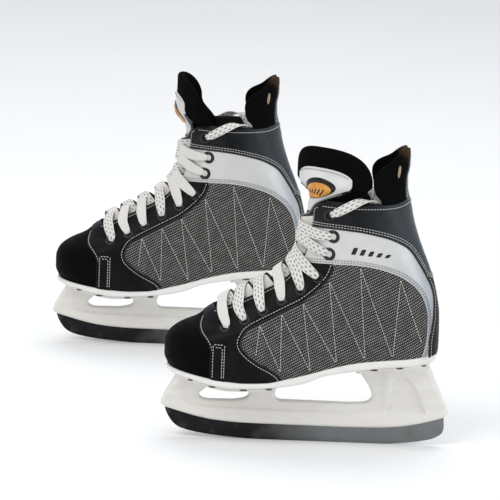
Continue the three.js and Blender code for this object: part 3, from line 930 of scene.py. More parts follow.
def tongue_mid(u, z, foot):
    """Front of the tongue at u, -1 outer edge to 1 inner edge, and height z."""
    twist, place = TONGUES[foot]
    low = np.minimum(z, 250.0)
    reach = 30 + 16 * smoothstep(250, 150, low)
    turn = turn_at(FRONT(low) + reach * u**2, low)
    depth = -2.6 - 5.9 * smoothstep(0, 0.6, np.abs(u))
    side = np.where(u < 0, -1.0, 1.0)
    base, _ = lifted(low, turn, side, depth)
    base[:, 2] += z - low
    angle = TONGUE_HALF_ANGLE * u
    x = TONGUE_RADIUS * (1 - np.cos(angle))
    y = TONGUE_RADIUS * np.sin(angle)
    high = columns(
        place[0] + x * math.cos(twist) - y * math.sin(twist),
        place[1] + x * math.sin(twist) + y * math.cos(twist),
        z,
    )
    share = smoothstep(240, 266, z)[:, None]
    return base * (1 - share) + high * share


def tongue_face(u, z, foot, lift):
    """Points on the tongue's front, raised by `lift` along its normal."""
    u, z = np.broadcast_arrays(np.asarray(u, float), np.asarray(z, float))
    shape = u.shape
    u, z = u.ravel(), z.ravel()
    around = tongue_mid(u + 0.02, z, foot) - tongue_mid(u - 0.02, z, foot)
    upward = tongue_mid(u, z + 0.8, foot) - tongue_mid(u, z - 0.8, foot)
    normal = unit(np.cross(upward, around))
    lift = np.broadcast_to(lift, shape).ravel()
    return (tongue_mid(u, z, foot) + normal * lift[:, None]).reshape(*shape, 3), normal.reshape(*shape, 3)


def grid_faces(tall, wide, flip):
    """Faces of a net of `tall` rows with `wide` points each."""
    faces = []
    for row in range(0, (tall - 1) * wide, wide):
        for i in range(row, row + wide - 1):
            face = (i, i + 1, i + wide + 1, i + wide)
            faces.append(face[::-1] if flip else face)
    return faces


def patch(foot, low, high, half, front, back, rounding, wide, tall):
    """A sheet on the tongue between heights low(u) and high(u), |u| up to half, with rounded edges."""
    s = np.linspace(-1, 1, wide)
    s = np.sign(s) * (1 - (1 - np.abs(s)) ** 1.35)
    t = 0.5 - 0.5 * np.cos(np.linspace(0, math.pi, tall))
    u = half * s[None] + 0 * t[:, None]
    z = low(u) + (high(u) - low(u)) * t[:, None]
    gap = np.minimum(np.minimum((half - np.abs(u)) * TONGUE_FLAT, high(u) - z), z - low(u))
    full = round_end(np.maximum(gap, 0) / rounding)
    middle = (front + back) / 2
    shape = Shape()
    flat = columns(u * TONGUE_FLAT, z).reshape(-1, 2)
    for edge, flip in ((front, True), (back, False)):
        points, _ = tongue_face(u, z, foot, middle + (edge - middle) * full)
        shape.add(points.reshape(-1, 3), grid_faces(tall, wide, flip), flat)
    return shape


ARCH_POWER = 2.5


def arch(u, base, rise, half):
    """Height of a round-topped outline that comes down to `base` at `half` on each side."""
    return base + rise * (1 - np.clip(np.abs(u) / half, 0, 1) ** ARCH_POWER) ** (1 / ARCH_POWER)


def tongue_low(u):
    return TONGUE_FOOT + 0 * u


def tongue_high(u):
    return arch(u, 262, TONGUE_TOP - 262, 1.0)


def plate_low(u):
    return 233 + 27 * smoothstep(0.12, 0.62, np.abs(u))


def plate_high(u):
    return arch(u, 263, 18, 0.66)


def binding_low(u):
    return plate_low(u) - 8.5


def binding_high(u):
    return plate_low(u) + 1.6


def tongue_row(foot, height, below, lift):
    """Stitches across the tongue, a little below the line `height`."""
    u = np.linspace(-0.56, 0.56, 90)
    return stitched(Shape(), *tongue_face(u, height(u) - below, foot, lift))


def tongue_pieces(foot):
    body = patch(foot, tongue_low, tongue_high, 1.0, 0.0, -TONGUE_THICKNESS, 3.4, 53, 80)
    plate = patch(foot, plate_low, plate_high, 0.62, 1.3, -0.4, 0.8, 41, 36)
    binding = patch(foot, binding_low, binding_high, 0.66, 2.0, -0.4, 0.8, 41, 12)
    return {
        "tongue_felt": (body, "felt", ["tongue_base", "tongue_top"]),
        "tongue_plate": (plate, "vinyl", ["tongue_panel"]),
        "tongue_plate_stitching": (tongue_row(foot, plate_high, 2.4, 1.45), "thread_grey", []),
        "tongue_binding": (binding, "cuff", []),
        "tongue_binding_stitching": (tongue_row(foot, plate_low, 1.2, 2.1), "thread_white", []),
    }


BADGE_RINGS = 7
BADGE_POINTS = 56


def badge_oval(foot, width, height, middle, front, crown):
    """Domed oval on the tongue, with its rim turned down."""
    turn = turns(BADGE_POINTS)
    points, flat = [], []
    for share in np.linspace(0, 1, BADGE_RINGS):
        across = share * width * np.cos(turn)
        z = middle + share * height * np.sin(turn)
        turned_down = 1.2 if share == 1 else 0
        lift = front + crown * (1 - share**4) - turned_down
        spot, _ = tongue_face(across / TONGUE_REACH, z, foot, lift)
        points.append(spot)
        flat.append(columns(across, z))
    return Shape().add(np.vstack(points), ring_faces(BADGE_RINGS, BADGE_POINTS), np.vstack(flat))


def badge_dashes(foot):
    """A plain row of raised slanted dashes across the badge."""
    shape = Shape()
    share = np.linspace(-1, 1, 7)
    for number in range(DASHES):
        across = 4.7 * (number - DASHES // 2) + 1.3 * share
        upward = 257.6 + (3.4 - 0.35 * number) * share
        line, out = tongue_face(across / TONGUE_REACH, upward, foot, 3.15)
        sweep(shape, line, out, circle(0.75, 6) * (1, 0.5))
    return shape


def badge_pieces(foot):
    return {
        "badge_rim": (badge_oval(foot, 22.5, 13.0, 259.0, 1.9, 0.4), "enamel", ["tongue_badge"]),
        "badge_face": (badge_oval(foot, 19.4, 9.9, 257.2, 2.6, 0.5), "orange", []),
        "badge_dashes": (badge_dashes(foot), "enamel", []),
    }


# ---- Tendon guard ------------------------------------------------------------------------
GUARD_FOOT = 246
GUARD_TIP = 303.4
GUARD_EDGE = flowing([
    (68, 246), (66, 252), (59.8, 258.9), (57.2, 268), (57.6, 276), (63, 283.4), (75, 290.6), (83.6, 298.6),
    (BACK(GUARD_TIP), GUARD_TIP),
])


def guard_padding():
    hidden = np.array([(BACK(GUARD_FOOT), GUARD_FOOT), (80, GUARD_FOOT), (68, GUARD_FOOT)])
    return panel([
        (GUARD_EDGE, "edge"), (back_middle(GUARD_FOOT, GUARD_TIP)[::-1], "middle"), (hidden, "hidden"),
    ], 0.4, 2.4, inner=-5.4, step=3.0)


def guard_spot():
    """Small upright oval of bare cloth on each side."""
    loop = to_chart([(81.5, 279.5)]) + circle(1, 24) * (2.1, 6.2)
    return raised(Shape(), loop, SIDES, 0.1, 0.8, 1.4, 1.0)


def guard_pieces():
    narrowing = Smooth([(GUARD_FOOT, 4.2), (262, 2.4), (285, 1.7), (300, 0.5)])
    z = np.linspace(GUARD_FOOT, 300, 28)
    strip_edge = columns(BACK(z) - narrowing(z), z)
    strip = panel([(strip_edge, "edge"), (back_middle(300, GUARD_FOOT), "middle")], 1.2, 0.8, step=2.4)
    return {
        "guard_padding": (guard_padding(), "guard_felt", ["tendon_guard"]),
        "guard_spot": (guard_spot(), "bare_cloth", []),
        "guard_backing": (strip, "cuff", []),
        "guard_stitching": (sewn([(strip_edge[3:-2], -2.2)], 1.35), "thread_white", []),
    }


# ---- Sole, holder, blade and rivets ------------------------------------------------------
SOLE_FRONT = -142.0
SOLE_BACK = 128.0
SOLE_ROUNDING = 42           # length of the sole's round ends
SOLE_SHARE = 0.93            # of the foot's width
SOLE_RIM = 2                 # the sole stands out past that share


def sole_half(x, inset=0.0):
    """Half width of the sole, or of a plate set back by `inset` from its rim."""
    front = round_end((x - SOLE_FRONT - inset) / SOLE_ROUNDING)
    back = round_end((SOLE_BACK - inset - x) / SOLE_ROUNDING)
    return (FOOT_HALF(x) * SOLE_SHARE + SOLE_RIM - inset) * front * back


def sole_outline(inset=0.0):
    share = (1 - np.cos(np.linspace(0, math.pi, 70))) / 2
    x = SOLE_FRONT + inset + (SOLE_BACK - SOLE_FRONT - 2 * inset) * share
    half = sole_half(x, inset)
    near = columns(x, toe_lean(x) - half)
    far = columns(x, toe_lean(x) + half)[::-1][1:-1]
    return np.vstack([near, far])


def slab(points, triangles, upper, lower):
    """Closed body between two 3-D faces of one net."""
    shape = Shape()
    count = len(points)
    walls = [(a, a + count, b + count, b) for a, b in border_edges(triangles)]
    faces = [tuple(t) for t in triangles] + [tuple(t[::-1] + count) for t in triangles] + walls
    return shape.add(np.vstack([upper, lower]), faces, np.vstack([points, points]))


def outsole():
    """The sole, with rounded rims and an underside set back within them."""
    radius = 2.2
    points, triangles, distance = net(sole_outline(), (), None, 4.5, radius)
    x, y = points.T
    round_off = radius * (1 - round_end(distance / radius))
    channel = 0.8 * smoothstep(3.0, 4.2, distance)
    upper = columns(x, y, SOLE_TOP(x) - round_off)
    lower = columns(x, y, SOLE_LOW(x) + round_off + channel)
    return slab(points, triangles, upper, lower)


FLANGE_INSET = 5.0
FLANGES = ((-130, -28), (47, 120.5))  # front and rear flange, from and to
FLANGE_THICKNESS = 3.0
HOLDER_GAP = 0.3             # between the sole and the holder
HOLDER_RADIUS = 3.2
HOLDER_STEP = 1.8
HOLDER_BOTTOM = [
    (141.8, 34, 3), (137, 29.5, 4), (128, 26.6, 8), (104, 20.1, 12), (80, 17.3, 12), (42, 16.4, 12),
    (-65, 16.8, 12), (-94, 18.9, 12), (-113, 22.6, 12), (-142, 30.7, 4), (-146.4, 34, 4),
]
RAIL_LINE = flowing([(-122, 37), (-112, 34.2), (-90, 32.6), (-40, 31.6), (40, 31.4), (74, 33.4)])
REAR_PANEL = filleted([(80, 33.5), (84, 46, 10), (83, 70, 9), (98, 72.5, 8), (110, 56, 14), (118, 33.5)])


def under_sole(x):
    return SOLE_LOW(x) - HOLDER_GAP


def under_sole_line(start, end):
    x = spaced(start, end, 3)
    return columns(x, under_sole(x))


def holder_outline():
    rear_window = filleted([
        (-29, 60.9), (-34, 41, 9), (-2, 40.9), (42, 40.6), (66, 42, 12), (63, 58, 6), (48, 79.2),
    ])
    ends = filleted([
        (120, 87), (121.5, 79, 6), (130, 61, 8), *HOLDER_BOTTOM, (-144.5, 40, 4), (-131, 62, 4), (-130, 67),
    ])
    return np.vstack([
        under_sole_line(-130, -29), rear_window[1:-1], under_sole_line(48, 120), ends[1:-1],
    ])


def signed_distance(points, loop):
    distance = distance_to(points, segments_of(loop, closed=True))
    return np.where(inside(points, loop), distance, -distance)


def holder_half(x, z):
    """Half width of the holder at points of its side view, and how far each has flared toward the sole."""
    body = 7.8 + 2.4 * smoothstep(36, 46, z) + 4.4 * smoothstep(46, 62, z) + 3 * smoothstep(62, 84, z)
    above_rail = z - np.interp(x, RAIL_LINE[:, 0], RAIL_LINE[:, 1])
    body -= 2.0 * smoothstep(-0.9, 0.9, above_rail) * smoothstep(-126, -117, x) * (1 - smoothstep(72, 79, x))
    body -= 2.3 * smoothstep(-0.9, 0.9, signed_distance(columns(x, z), REAR_PANEL))
    flange = np.maximum(sole_half(x, FLANGE_INSET) - 0.5, 8)
    below = np.maximum(under_sole(x) - z, 0)
    flare = np.clip(1 - below / 9.0, 0, 1) ** 2.6
    return body + (flange - body) * flare, flare


def holder_body():
    loop = resampled_loop(holder_outline(), HOLDER_STEP)
    window = resampled_loop(filleted([
        (-94, 57.5), (-110, 44, 8), (-103, 39, 5), (-72, 39.4, 6), (-56, 43, 8), (-61, 57.5, 5),
    ]), HOLDER_STEP)
    segments = np.vstack([segments_of(loop, True), segments_of(window, True)])
    middle = segments.mean(axis=1)
    free = (SOLE_LOW(middle[:, 0]) - middle[:, 1]) > 0.8
    creases = (RAIL_LINE, np.vstack([REAR_PANEL, REAR_PANEL[:1]]))
    points, triangles, distance = net(loop, (window,), segments[free], 2.4, HOLDER_RADIUS, creases)
    x, z = points.T
    half, flare = holder_half(x, z)
    half = half - HOLDER_RADIUS + HOLDER_RADIUS * round_end(distance / HOLDER_RADIUS)
    upper = columns(x, toe_lean(x) * flare - half, z)
    lower = columns(x, toe_lean(x) * flare + half, z)
    return slab(points, triangles, upper, lower)


def holder_flange(start, end):
    """Thin plate that holds the holder to the sole."""
    radius = 1.2
    outline = sole_outline(FLANGE_INSET)
    outline = outline[(outline[:, 0] > start) & (outline[:, 0] < end)]
    plan, faces, gap = net(resampled_loop(outline, 2.5), (), None, 4.0, radius)
    x, y = plan.T
    lip = radius * (1 - round_end(gap / radius))
    top = columns(x, y, under_sole(x) - lip * 0.3)
    low = columns(x, y, under_sole(x) - FLANGE_THICKNESS + lip)
    return slab(plan, faces, top, low)


def holder():
    shape = holder_body()
    for start, end in FLANGES:
        shape.join(holder_flange(start, end))
    return shape


BLADE_HALF = 1.5
BLADE_BEVEL = 0.35
BLADE_HELD = 6.5             # depth of the blade within the holder
BEVEL_REACH = 0.5


def blade():
    low = flowing([
        (-141.6, 30.7), (-139, 23), (-132, 13.2), (-122, 7.8), (-101, 3.7), (-74, 1.2), (-45, 0.0), (0, 0),
        (43, 0.0), (89, 0.9), (119, 5), (132.5, 9.8), (137.6, 16.6), (137.2, 30),
    ], 2.0)
    low[:, 1] = np.maximum(low[:, 1], 0)
    held = np.array([(x, z + BLADE_HELD) for x, z, _ in HOLDER_BOTTOM[2:-2]])
    points, triangles, distance = net(np.vstack([low, held]), (), segments_of(low), 4.0, BEVEL_REACH)
    x, z = points.T
    half = BLADE_HALF - BLADE_BEVEL * (1 - round_end(distance / BEVEL_REACH))
    upper = columns(x, -half, z)
    lower = columns(x, half, z)
    return slab(points, triangles, upper, lower)


RIVETS = [-115, -94, -64, -39, 65, 90, 113]
RIVET_LONG, RIVET_PROUD, RIVET_TALL = 4.2, 1.3, 1.15  # half sizes of a head
RIVET_ROWS = 5
RIVET_POINTS = 16


def rivets():
    """Rivet heads sunk in the rim of the holder's flange."""
    shape = Shape()
    turn = turns(RIVET_POINTS)
    lat = np.linspace(0.08, 1.0, RIVET_ROWS)[:, None] * math.pi / 2
    head = columns(
        RIVET_LONG * np.sin(lat) * np.cos(turn),
        RIVET_PROUD * np.cos(lat),
        RIVET_TALL * np.sin(lat) * np.sin(turn),
    ).reshape(-1, 3)
    faces = [*ring_faces(RIVET_ROWS, RIVET_POINTS), tuple(range(RIVET_POINTS))[::-1]]
    for x in RIVETS:
        for side in SIDES:
            rim = toe_lean(x) + side * (sole_half(x, FLANGE_INSET) - 0.4)
            shape.add(head * (1, side, 1) + (x, rim, SOLE_LOW(x) - 1.5), faces, flip=side < 0)
    return shape


MARK_START = (37, 201.6)     # x and height of the first dash
MARK_PITCH = (8.2, -1.1)
MARK_WIDTH = 4.6
MARK_SLANT = 2.6


def side_mark():
    """A plain row of slanted dashes on the outer side of the pale band, each shorter than the last."""
    shape = Shape()
    for number in range(DASHES):
        x = MARK_START[0] + number * MARK_PITCH[0]
        tall = 7.2 - number * 0.9
        low = MARK_START[1] + number * MARK_PITCH[1] - tall / 2
        far = x + MARK_SLANT
        loop = to_chart([(x, low), (x + MARK_WIDTH, low), (far + MARK_WIDTH, low + tall), (far, low + tall)])
        raised(shape, resampled_loop(loop, 1.0), (-1,), 0.55, 0.7, 1.6, 0.4)
    return shape


# ---- Materials ---------------------------------------------------------------------------
class Value:
    """A number, colour or place at every point of a surface; arithmetic on it adds nodes to its recipe."""

    def __init__(self, recipe, socket):
        self.recipe, self.socket = recipe, socket

    def _math(self, operation, other=0.0):
        node = self.recipe.node("ShaderNodeMath", operation=operation)
        self.recipe.link(self, node.inputs[0])
        self.recipe.link(other, node.inputs[1])
        return Value(self.recipe, node.outputs[0])

    def __add__(self, other):
        return self._math("ADD", other)

    def __sub__(self, other):
        return self._math("SUBTRACT", other)

    def __mul__(self, other):
        return self._math("MULTIPLY", other)

    def __truediv__(self, other):
        return self._math("DIVIDE", other)

    def __lt__(self, other):
        return self._math("LESS_THAN", other)

    def __abs__(self):
        return self._math("ABSOLUTE")

    def at_most(self, other):
        return self._math("MINIMUM", other)

    def floor(self):
        return self._math("FLOOR")

    def fract(self):
        return self._math("FRACT")

    def sine(self):
        return self._math("SINE")

    def parts(self):
        """The first two parts of a place: along and across, or across and height."""
        node = self.recipe.node("ShaderNodeSeparateXYZ")
        self.recipe.link(self, node.inputs[0])
        return Value(self.recipe, node.outputs[0]), Value(self.recipe, node.outputs[1])

    def stretched(self, scale, turn=0.0):
        node = self.recipe.node("ShaderNodeMapping")
        self.recipe.link(self, node.inputs["Vector"])
        node.inputs["Scale"].default_value = scale
        node.inputs["Rotation"].default_value = (0, 0, turn)
        return Value(self.recipe, node.outputs[0])

    def _texture(self, node, output, **settings):
        self.recipe.link(self, node.inputs["Vector"])
        for name, value in settings.items():
            node.inputs[name].default_value = value
        return Value(self.recipe, node.outputs[output])

    def noise(self, scale, detail=3.0, roughness=0.55):
        node = self.recipe.node("ShaderNodeTexNoise")
        return self._texture(node, "Fac", Scale=scale, Detail=detail, Roughness=roughness)

    def cells(self, scale):
        node = self.recipe.node("ShaderNodeTexVoronoi", feature="SMOOTH_F1")
        return self._texture(node, "Distance", Scale=scale)

    def ranged(self, low, high, to_low=0, to_high=1):
        """A smooth step from one range to another."""
        node = self.recipe.node("ShaderNodeMapRange", interpolation_type="SMOOTHSTEP")
        self.recipe.link(self, node.inputs["Value"])
        for name, number in zip(("From Min", "From Max", "To Min", "To Max"), (low, high, to_low, to_high)):
            node.inputs[name].default_value = number
        return Value(self.recipe, node.outputs["Result"])

    def blend(self, first, second):
        """The first colour where this is 0 and the second where it is 1."""
        node = self.recipe.node("ShaderNodeMix", data_type="RGBA")
        self.recipe.link(self, node.inputs[0])
        self.recipe.link(first, node.inputs[6])
        self.recipe.link(second, node.inputs[7])
        return Value(self.recipe, node.outputs[2])


class Recipe:
    """One material being built from nodes."""

    def __init__(self, name, roughness, **fixed):
        self.material = bpy.data.materials.new(name)
        self.material.use_nodes = True
        self.tree = self.material.node_tree
        self.tree.nodes.clear()
        self.shader = self.node("ShaderNodeBsdfPrincipled")
        self.shader.inputs["Roughness"].default_value = roughness
        for socket, value in fixed.items():
            self.shader.inputs[socket.replace("_", " ")].default_value = value
        output = self.node("ShaderNodeOutputMaterial")
        self.tree.links.new(self.shader.outputs[0], output.inputs[0])
        coordinates = self.node("ShaderNodeTexCoord")
        self.flat = Value(self, coordinates.outputs["UV"])        # the flat map, in millimetres
        self.place = Value(self, coordinates.outputs["Object"])   # in the object, in metres

    def node(self, kind, **settings):
        made = self.tree.nodes.new(kind)
        for key, value in settings.items():
            setattr(made, key, value)
        return made

    def link(self, source, target):
        """Feeds a value, a number or a colour into a node's input."""
        if isinstance(source, Value):
            self.tree.links.new(source.socket, target)
        else:
            target.default_value = (*source, 1) if isinstance(source, tuple) else source

    def finish(self, colour, rough=None, height=None, depth=0.0, strength=1.0):
        """Sends colour, roughness and height to the shader; depth is the bump's height in metres."""
        self.link(colour, self.shader.inputs["Base Color"])
        if rough is not None:
            self.link(rough, self.shader.inputs["Roughness"])
        if height is not None:
            bump = self.node("ShaderNodeBump")
            bump.inputs["Strength"].default_value = strength
            bump.inputs["Distance"].default_value = depth
            self.link(height, bump.inputs["Height"])
            self.tree.links.new(bump.outputs[0], self.shader.inputs["Normal"])
        return self.material


def leather(name, dark, light, roughness, gloss=0.14, grain=0.9, painted_heel_sheen=None):
    """Coated leather: small rounded grain cells with creases between them, and, if given, a painted bluish
    sheen toward the heel.
    """
    recipe = Recipe(name, roughness, Specular_IOR_Level=gloss)
    flat = recipe.flat
    height = flat.cells(grain) * -0.7 + flat.noise(2.6, 4) * 0.35
    colour = flat.noise(0.035).ranged(0.35, 0.68).blend(dark, light)
    if painted_heel_sheen:
        across, _ = flat.parts()
        # Painted sheen: a lighter bluish tone toward the heel stands in for a reflection.
        colour = across.ranged(40, 105).blend(colour, painted_heel_sheen)
    rough = flat.noise(0.12, 4).ranged(0.3, 0.7, roughness - 0.06, roughness + 0.09)
    return recipe.finish(colour, rough, height, 0.00022, 0.55)


def silver_leather():
    """Pale coated leather, with a painted bluish-grey shade low at the heel."""
    recipe = Recipe("silver leather", 0.36, Metallic=0.12)
    flat = recipe.flat
    across, height = flat.parts()
    # Painted shade: the band is painted bluish grey low toward the heel.
    painted_heel_shade = (across - height * 0.55).ranged(-55, 45)
    base = painted_heel_shade.blend((0.59, 0.585, 0.565), (0.36, 0.385, 0.41))
    cloudy = flat.noise(0.06)
    colour = cloudy.ranged(0.4, 0.75, 0, 0.3).blend(base, (0.50, 0.50, 0.49))
    return recipe.finish(colour, cloudy.ranged(0.3, 0.7, 0.30, 0.42), flat.cells(1.1) * -1.0, 0.00012, 0.4)


TWILL_TURN = math.radians(35)
TWILL_ROW = 1.75             # millimetres
TWILL_BEAT = 3.0             # one pale thread and the gap after it
TWILL_STAGGER = 0.7          # beats from one row to the next
TWILL_DUTY = 0.72            # share of the beat that the thread takes


def weave():
    """Coarse twill: short pale threads in staggered rows over a black ground."""
    recipe = Recipe("woven fabric", 0.62, Specular_IOR_Level=0.1)
    across, height = recipe.flat.stretched((1, 1, 1), TWILL_TURN).parts()
    row = height / TWILL_ROW
    beat = (across / TWILL_BEAT + row.floor() * TWILL_STAGGER).fract()
    crown = (row.fract() * math.pi).sine()
    thread = (beat.at_most(TWILL_DUTY) * (math.pi / TWILL_DUTY)).sine()
    cover = thread.ranged(0.15, 0.55) * crown.ranged(0.5, 0.85)
    patchy = recipe.flat.noise(0.11).ranged(0.35, 0.7)
    pale = patchy.blend((0.25, 0.245, 0.228), (0.36, 0.355, 0.332))
    colour = cover.blend((0.004, 0.004, 0.004), pale)
    return recipe.finish(colour, None, (thread + 0.25) * crown, 0.00045, 0.8)


def moulded(name, colour, worn, roughness, gloss):
    """Moulded plastic: a very fine texture, with faint scuffs and dust."""
    recipe = Recipe(name, roughness, Specular_IOR_Level=gloss)
    scuffs = recipe.place.stretched((1, 1, 4)).noise(38, 6, 0.62)
    mixed = scuffs.ranged(0.5, 0.78).blend(colour, worn)
    rough = scuffs.ranged(0.4, 0.75, roughness - 0.05, roughness + 0.16)
    return recipe.finish(mixed, rough, recipe.place.noise(1600, 2), 0.00006, 0.5)


def steel():
    """Ground blade: lengthwise grinding marks and stains, with a painted dark reflection toward the front."""
    recipe = Recipe("ground steel", 0.28, Metallic=1.0)
    across, _ = recipe.flat.parts()
    streaks = recipe.flat.stretched((0.02, 2.6, 1)).noise(1.0, 5, 0.6)
    stain_and_reflection_noise = recipe.flat.noise(0.05, 4)
    # Painted reflection: the blade is painted darker toward the front, with a noisy boundary.
    front = (across + stain_and_reflection_noise * 40).ranged(-40, 50, 1, 0)
    base = front.blend((0.19, 0.2, 0.2), (0.02, 0.018, 0.02))
    colour = stain_and_reflection_noise.ranged(0.5, 0.8, 0, 0.5).blend(base, (0.10, 0.09, 0.085))
    return recipe.finish(colour, streaks.ranged(0.3, 0.7, 0.22, 0.4), streaks, 0.00004, 0.5)


def felt(name, colour, worn, worn_from=None):
    """Brushed felt: matted fibres, rubbed pale in patches, or above the height `worn_from`."""
    recipe = Recipe(name, 0.95, Specular_IOR_Level=0.03)
    flat = recipe.flat
    fibres = flat.stretched((1, 2.2, 1)).noise(1.7, 6, 0.7)
    if worn_from is None:
        share = flat.noise(0.09, 4).ranged(0.52, 0.8, 0, 0.35)
    else:
        across, height = flat.parts()
        toward_tip = height + across * 0.55 + flat.noise(0.35, 5) * 14.0
        share = toward_tip.ranged(worn_from, worn_from + 16, 0, 0.8)
    return recipe.finish(share.blend(colour, worn), None, fibres, 0.0004, 0.6)


def knitted(name, colour, shade):
    """Brushed knit lining with fine ribs."""
    recipe = Recipe(name, 0.9, Sheen_Weight=0.04, Specular_IOR_Level=0.15)
    across, height = recipe.flat.parts()
    ribs = (across * (2 * math.pi / 1.6)).sine()
    loops = (height * (2 * math.pi / 1.1)).sine()
    surface = ribs * loops + recipe.flat.noise(1.8, 4)
    return recipe.finish(surface.ranged(-0.6, 1.4).blend(shade, colour), None, surface, 0.00025, 0.6)


def thread(name, colour, shade):
    """Twisted sewing thread."""
    recipe = Recipe(name, 0.6)
    along, round_it = recipe.flat.parts()
    twist = (along * 9.0 + round_it * 8.0).sine()
    return recipe.finish(twist.ranged(-1, 0.4).blend(shade, colour), None, twist, 0.00008, 0.6)


TRACER_EDGE = 4.8            # the dashes lie within this distance of the lace's middle
TRACER_ROW = 3.2
TRACER_BEAT = 6.2
TRACER_DUTY = 0.45
TRACER_HALF = 0.13           # half width of a dash, as a share of its row


def tracer_dashes(along, across):
    """1 on three rows of staggered dashes, 0 beside them."""
    row = (across + TRACER_EDGE) / TRACER_ROW
    beat = (along / TRACER_BEAT + row.floor() * 0.5).fract()
    dash = (beat < TRACER_DUTY) * (abs(row.fract() - 0.5) < TRACER_HALF)
    return dash * (abs(across) < TRACER_EDGE)


def lace_cotton():
    """Flat woven lace: slanted ribs and three rows of black tracer dashes."""
    recipe = Recipe("lace cotton", 0.82, Sheen_Weight=0.05)
    along, across = recipe.flat.parts()
    ribs = (along * 6.5 + abs(across) * 4.5).sine()
    cotton = ribs.ranged(-1, 0.2).blend((0.60, 0.58, 0.54), (0.80, 0.78, 0.74))
    cotton = recipe.flat.noise(0.3).ranged(0.4, 0.75, 0, 0.3).blend(cotton, (0.62, 0.59, 0.54))
    colour = tracer_dashes(along, across).blend(cotton, (0.02, 0.02, 0.022))
    return recipe.finish(colour, None, ribs, 0.00018, 0.7)


def glossy(name, colour, shade, roughness, metal=0.0):
    """Enamel, vinyl or rubber with a faint uneven surface."""
    recipe = Recipe(name, roughness, Metallic=metal, Specular_IOR_Level=0.28)
    cloudy = recipe.place.noise(90, 4)
    mixed = cloudy.ranged(0.35, 0.7).blend(colour, shade)
    rough = cloudy.ranged(0.3, 0.7, roughness - 0.05, roughness + 0.1)
    return recipe.finish(mixed, rough, recipe.place.noise(700), 0.00008, 0.4)


FOOTBED_FABRIC = knitted("footbed fabric", (0.05, 0.05, 0.053), (0.02, 0.02, 0.022))
ORANGE_RUBBER = glossy("orange rubber", (0.72, 0.33, 0.065), (0.5, 0.2, 0.035), 0.42)
WHITE_VINYL = leather("white vinyl", (0.58, 0.57, 0.55), (0.66, 0.655, 0.64), 0.42, grain=0.7)
# The cuff leather's lighter bluish tone toward the heel is a painted sheen; the guard backing strip shares
# it.
CUFF_LEATHER = leather(
    "cuff leather", (0.004, 0.0044, 0.005), (0.009, 0.0105, 0.013), 0.31, painted_heel_sheen=(0.034, 0.042, 0.048))
BLACK_LEATHER = leather("black leather", (0.004, 0.004, 0.0044), (0.009, 0.009, 0.0095), 0.38, 0.07)
TOE_MOULDING = moulded("toe moulding", (0.002, 0.002, 0.0021), (0.004, 0.004, 0.0042), 0.6, 0.03)
HOLDER_PLASTIC = moulded("holder plastic", (0.72, 0.695, 0.65), (0.66, 0.635, 0.59), 0.34, 0.35)
# Blender material, and the CAD material that it stands for
MATERIALS = {
    "leather": (BLACK_LEATHER, "black_leather"),
    "cuff": (CUFF_LEATHER, "black_leather"),
    "weave": (weave(), "grey_weave"),
    "silver": (silver_leather(), "silver_leather"),
    "moulding": (TOE_MOULDING, "black_moulding"),
    "holder": (HOLDER_PLASTIC, "holder_white"),
    "sole": (moulded("sole plastic", (0.74, 0.72, 0.69), (0.66, 0.64, 0.60), 0.4, 0.3), "sole_white"),
    "steel": (steel(), "steel"),
    "felt": (felt("black felt", (0.003, 0.003, 0.0032), (0.009, 0.008, 0.0075)), "black_felt"),
    "guard_felt": (felt("guard felt", (0.003, 0.003, 0.0032), (0.075, 0.042, 0.022), 346.0), "black_felt"),
    "lining": (knitted("boot lining", (0.018, 0.018, 0.02), (0.006, 0.006, 0.007)), "lining"),
    "bare_cloth": (knitted("bare cloth", (0.42, 0.34, 0.22), (0.25, 0.19, 0.12)), "lining"),
    "vinyl": (WHITE_VINYL, "white_vinyl"),
    "orange": (ORANGE_RUBBER, "orange_rubber"),
    "enamel": (glossy("black enamel", (0.006, 0.006, 0.006), (0.012, 0.012, 0.013), 0.2), "black_moulding"),
    "piping": (glossy("black piping", (0.008, 0.008, 0.009), (0.016, 0.016, 0.018), 0.32), "black_leather"),
    "rivet": (glossy("dark rivet", (0.10, 0.09, 0.08), (0.2, 0.18, 0.16), 0.4, 0.6), "steel"),
    "thread_white": (thread("white thread", (0.62, 0.61, 0.58), (0.34, 0.33, 0.31)), "lace_cotton"),
    "thread_grey": (thread("grey thread", (0.30, 0.30, 0.30), (0.14, 0.14, 0.14)), "silver_leather"),
    "lace": (lace_cotton(), "lace_cotton"),
}


# ---- Objects -----------------------------------------------------------------------------
def world(foot, points):
    """Design millimetres of one foot to metres in the frame."""
    low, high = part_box(f"{foot}_blade")
    return columns(
        low[0] + (points[:, 0] + BLADE_FRONT) / 1000,
        (low[1] + high[1]) / 2 + FEET[foot] * points[:, 1] / 1000,
        points[:, 2] / 1000,
    )


WELD = 0.00004               # metres
SHORTEST_EDGE = 0.000002     # metres
SHARP_FROM = math.radians(50)


def make(name, foot, shape, material, nodes):
    """One mesh object with its flat map, seams welded and sharp edges kept."""
    mesh = bpy.data.meshes.new(f"{foot}_{name}")
    faces = shape.faces if FEET[foot] > 0 else [face[::-1] for face in shape.faces]
    mesh.from_pydata(world(foot, np.vstack(shape.points)).tolist(), [], faces)
    corner = np.empty(len(mesh.loops), int)
    mesh.loops.foreach_get("vertex_index", corner)
    mesh.uv_layers.new(name="flat").data.foreach_set("uv", np.vstack(shape.flat)[corner].ravel())
    made = bmesh.new()
    made.from_mesh(mesh)
    bmesh.ops.remove_doubles(made, verts=made.verts, dist=WELD)
    bmesh.ops.dissolve_degenerate(made, edges=made.edges, dist=SHORTEST_EDGE)
    made.to_mesh(mesh)
    made.free()
    mesh.shade_smooth()
    mesh.set_sharp_from_angle(angle=SHARP_FROM)
    piece = bpy.data.objects.new(f"{foot}_{name}", mesh)
    bpy.context.scene.collection.objects.link(piece)
    finish, slot = MATERIALS[material]
    mesh.materials.append(finish)
    if nodes:
        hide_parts(*[f"{foot}_{node}" for node in nodes])
    return piece


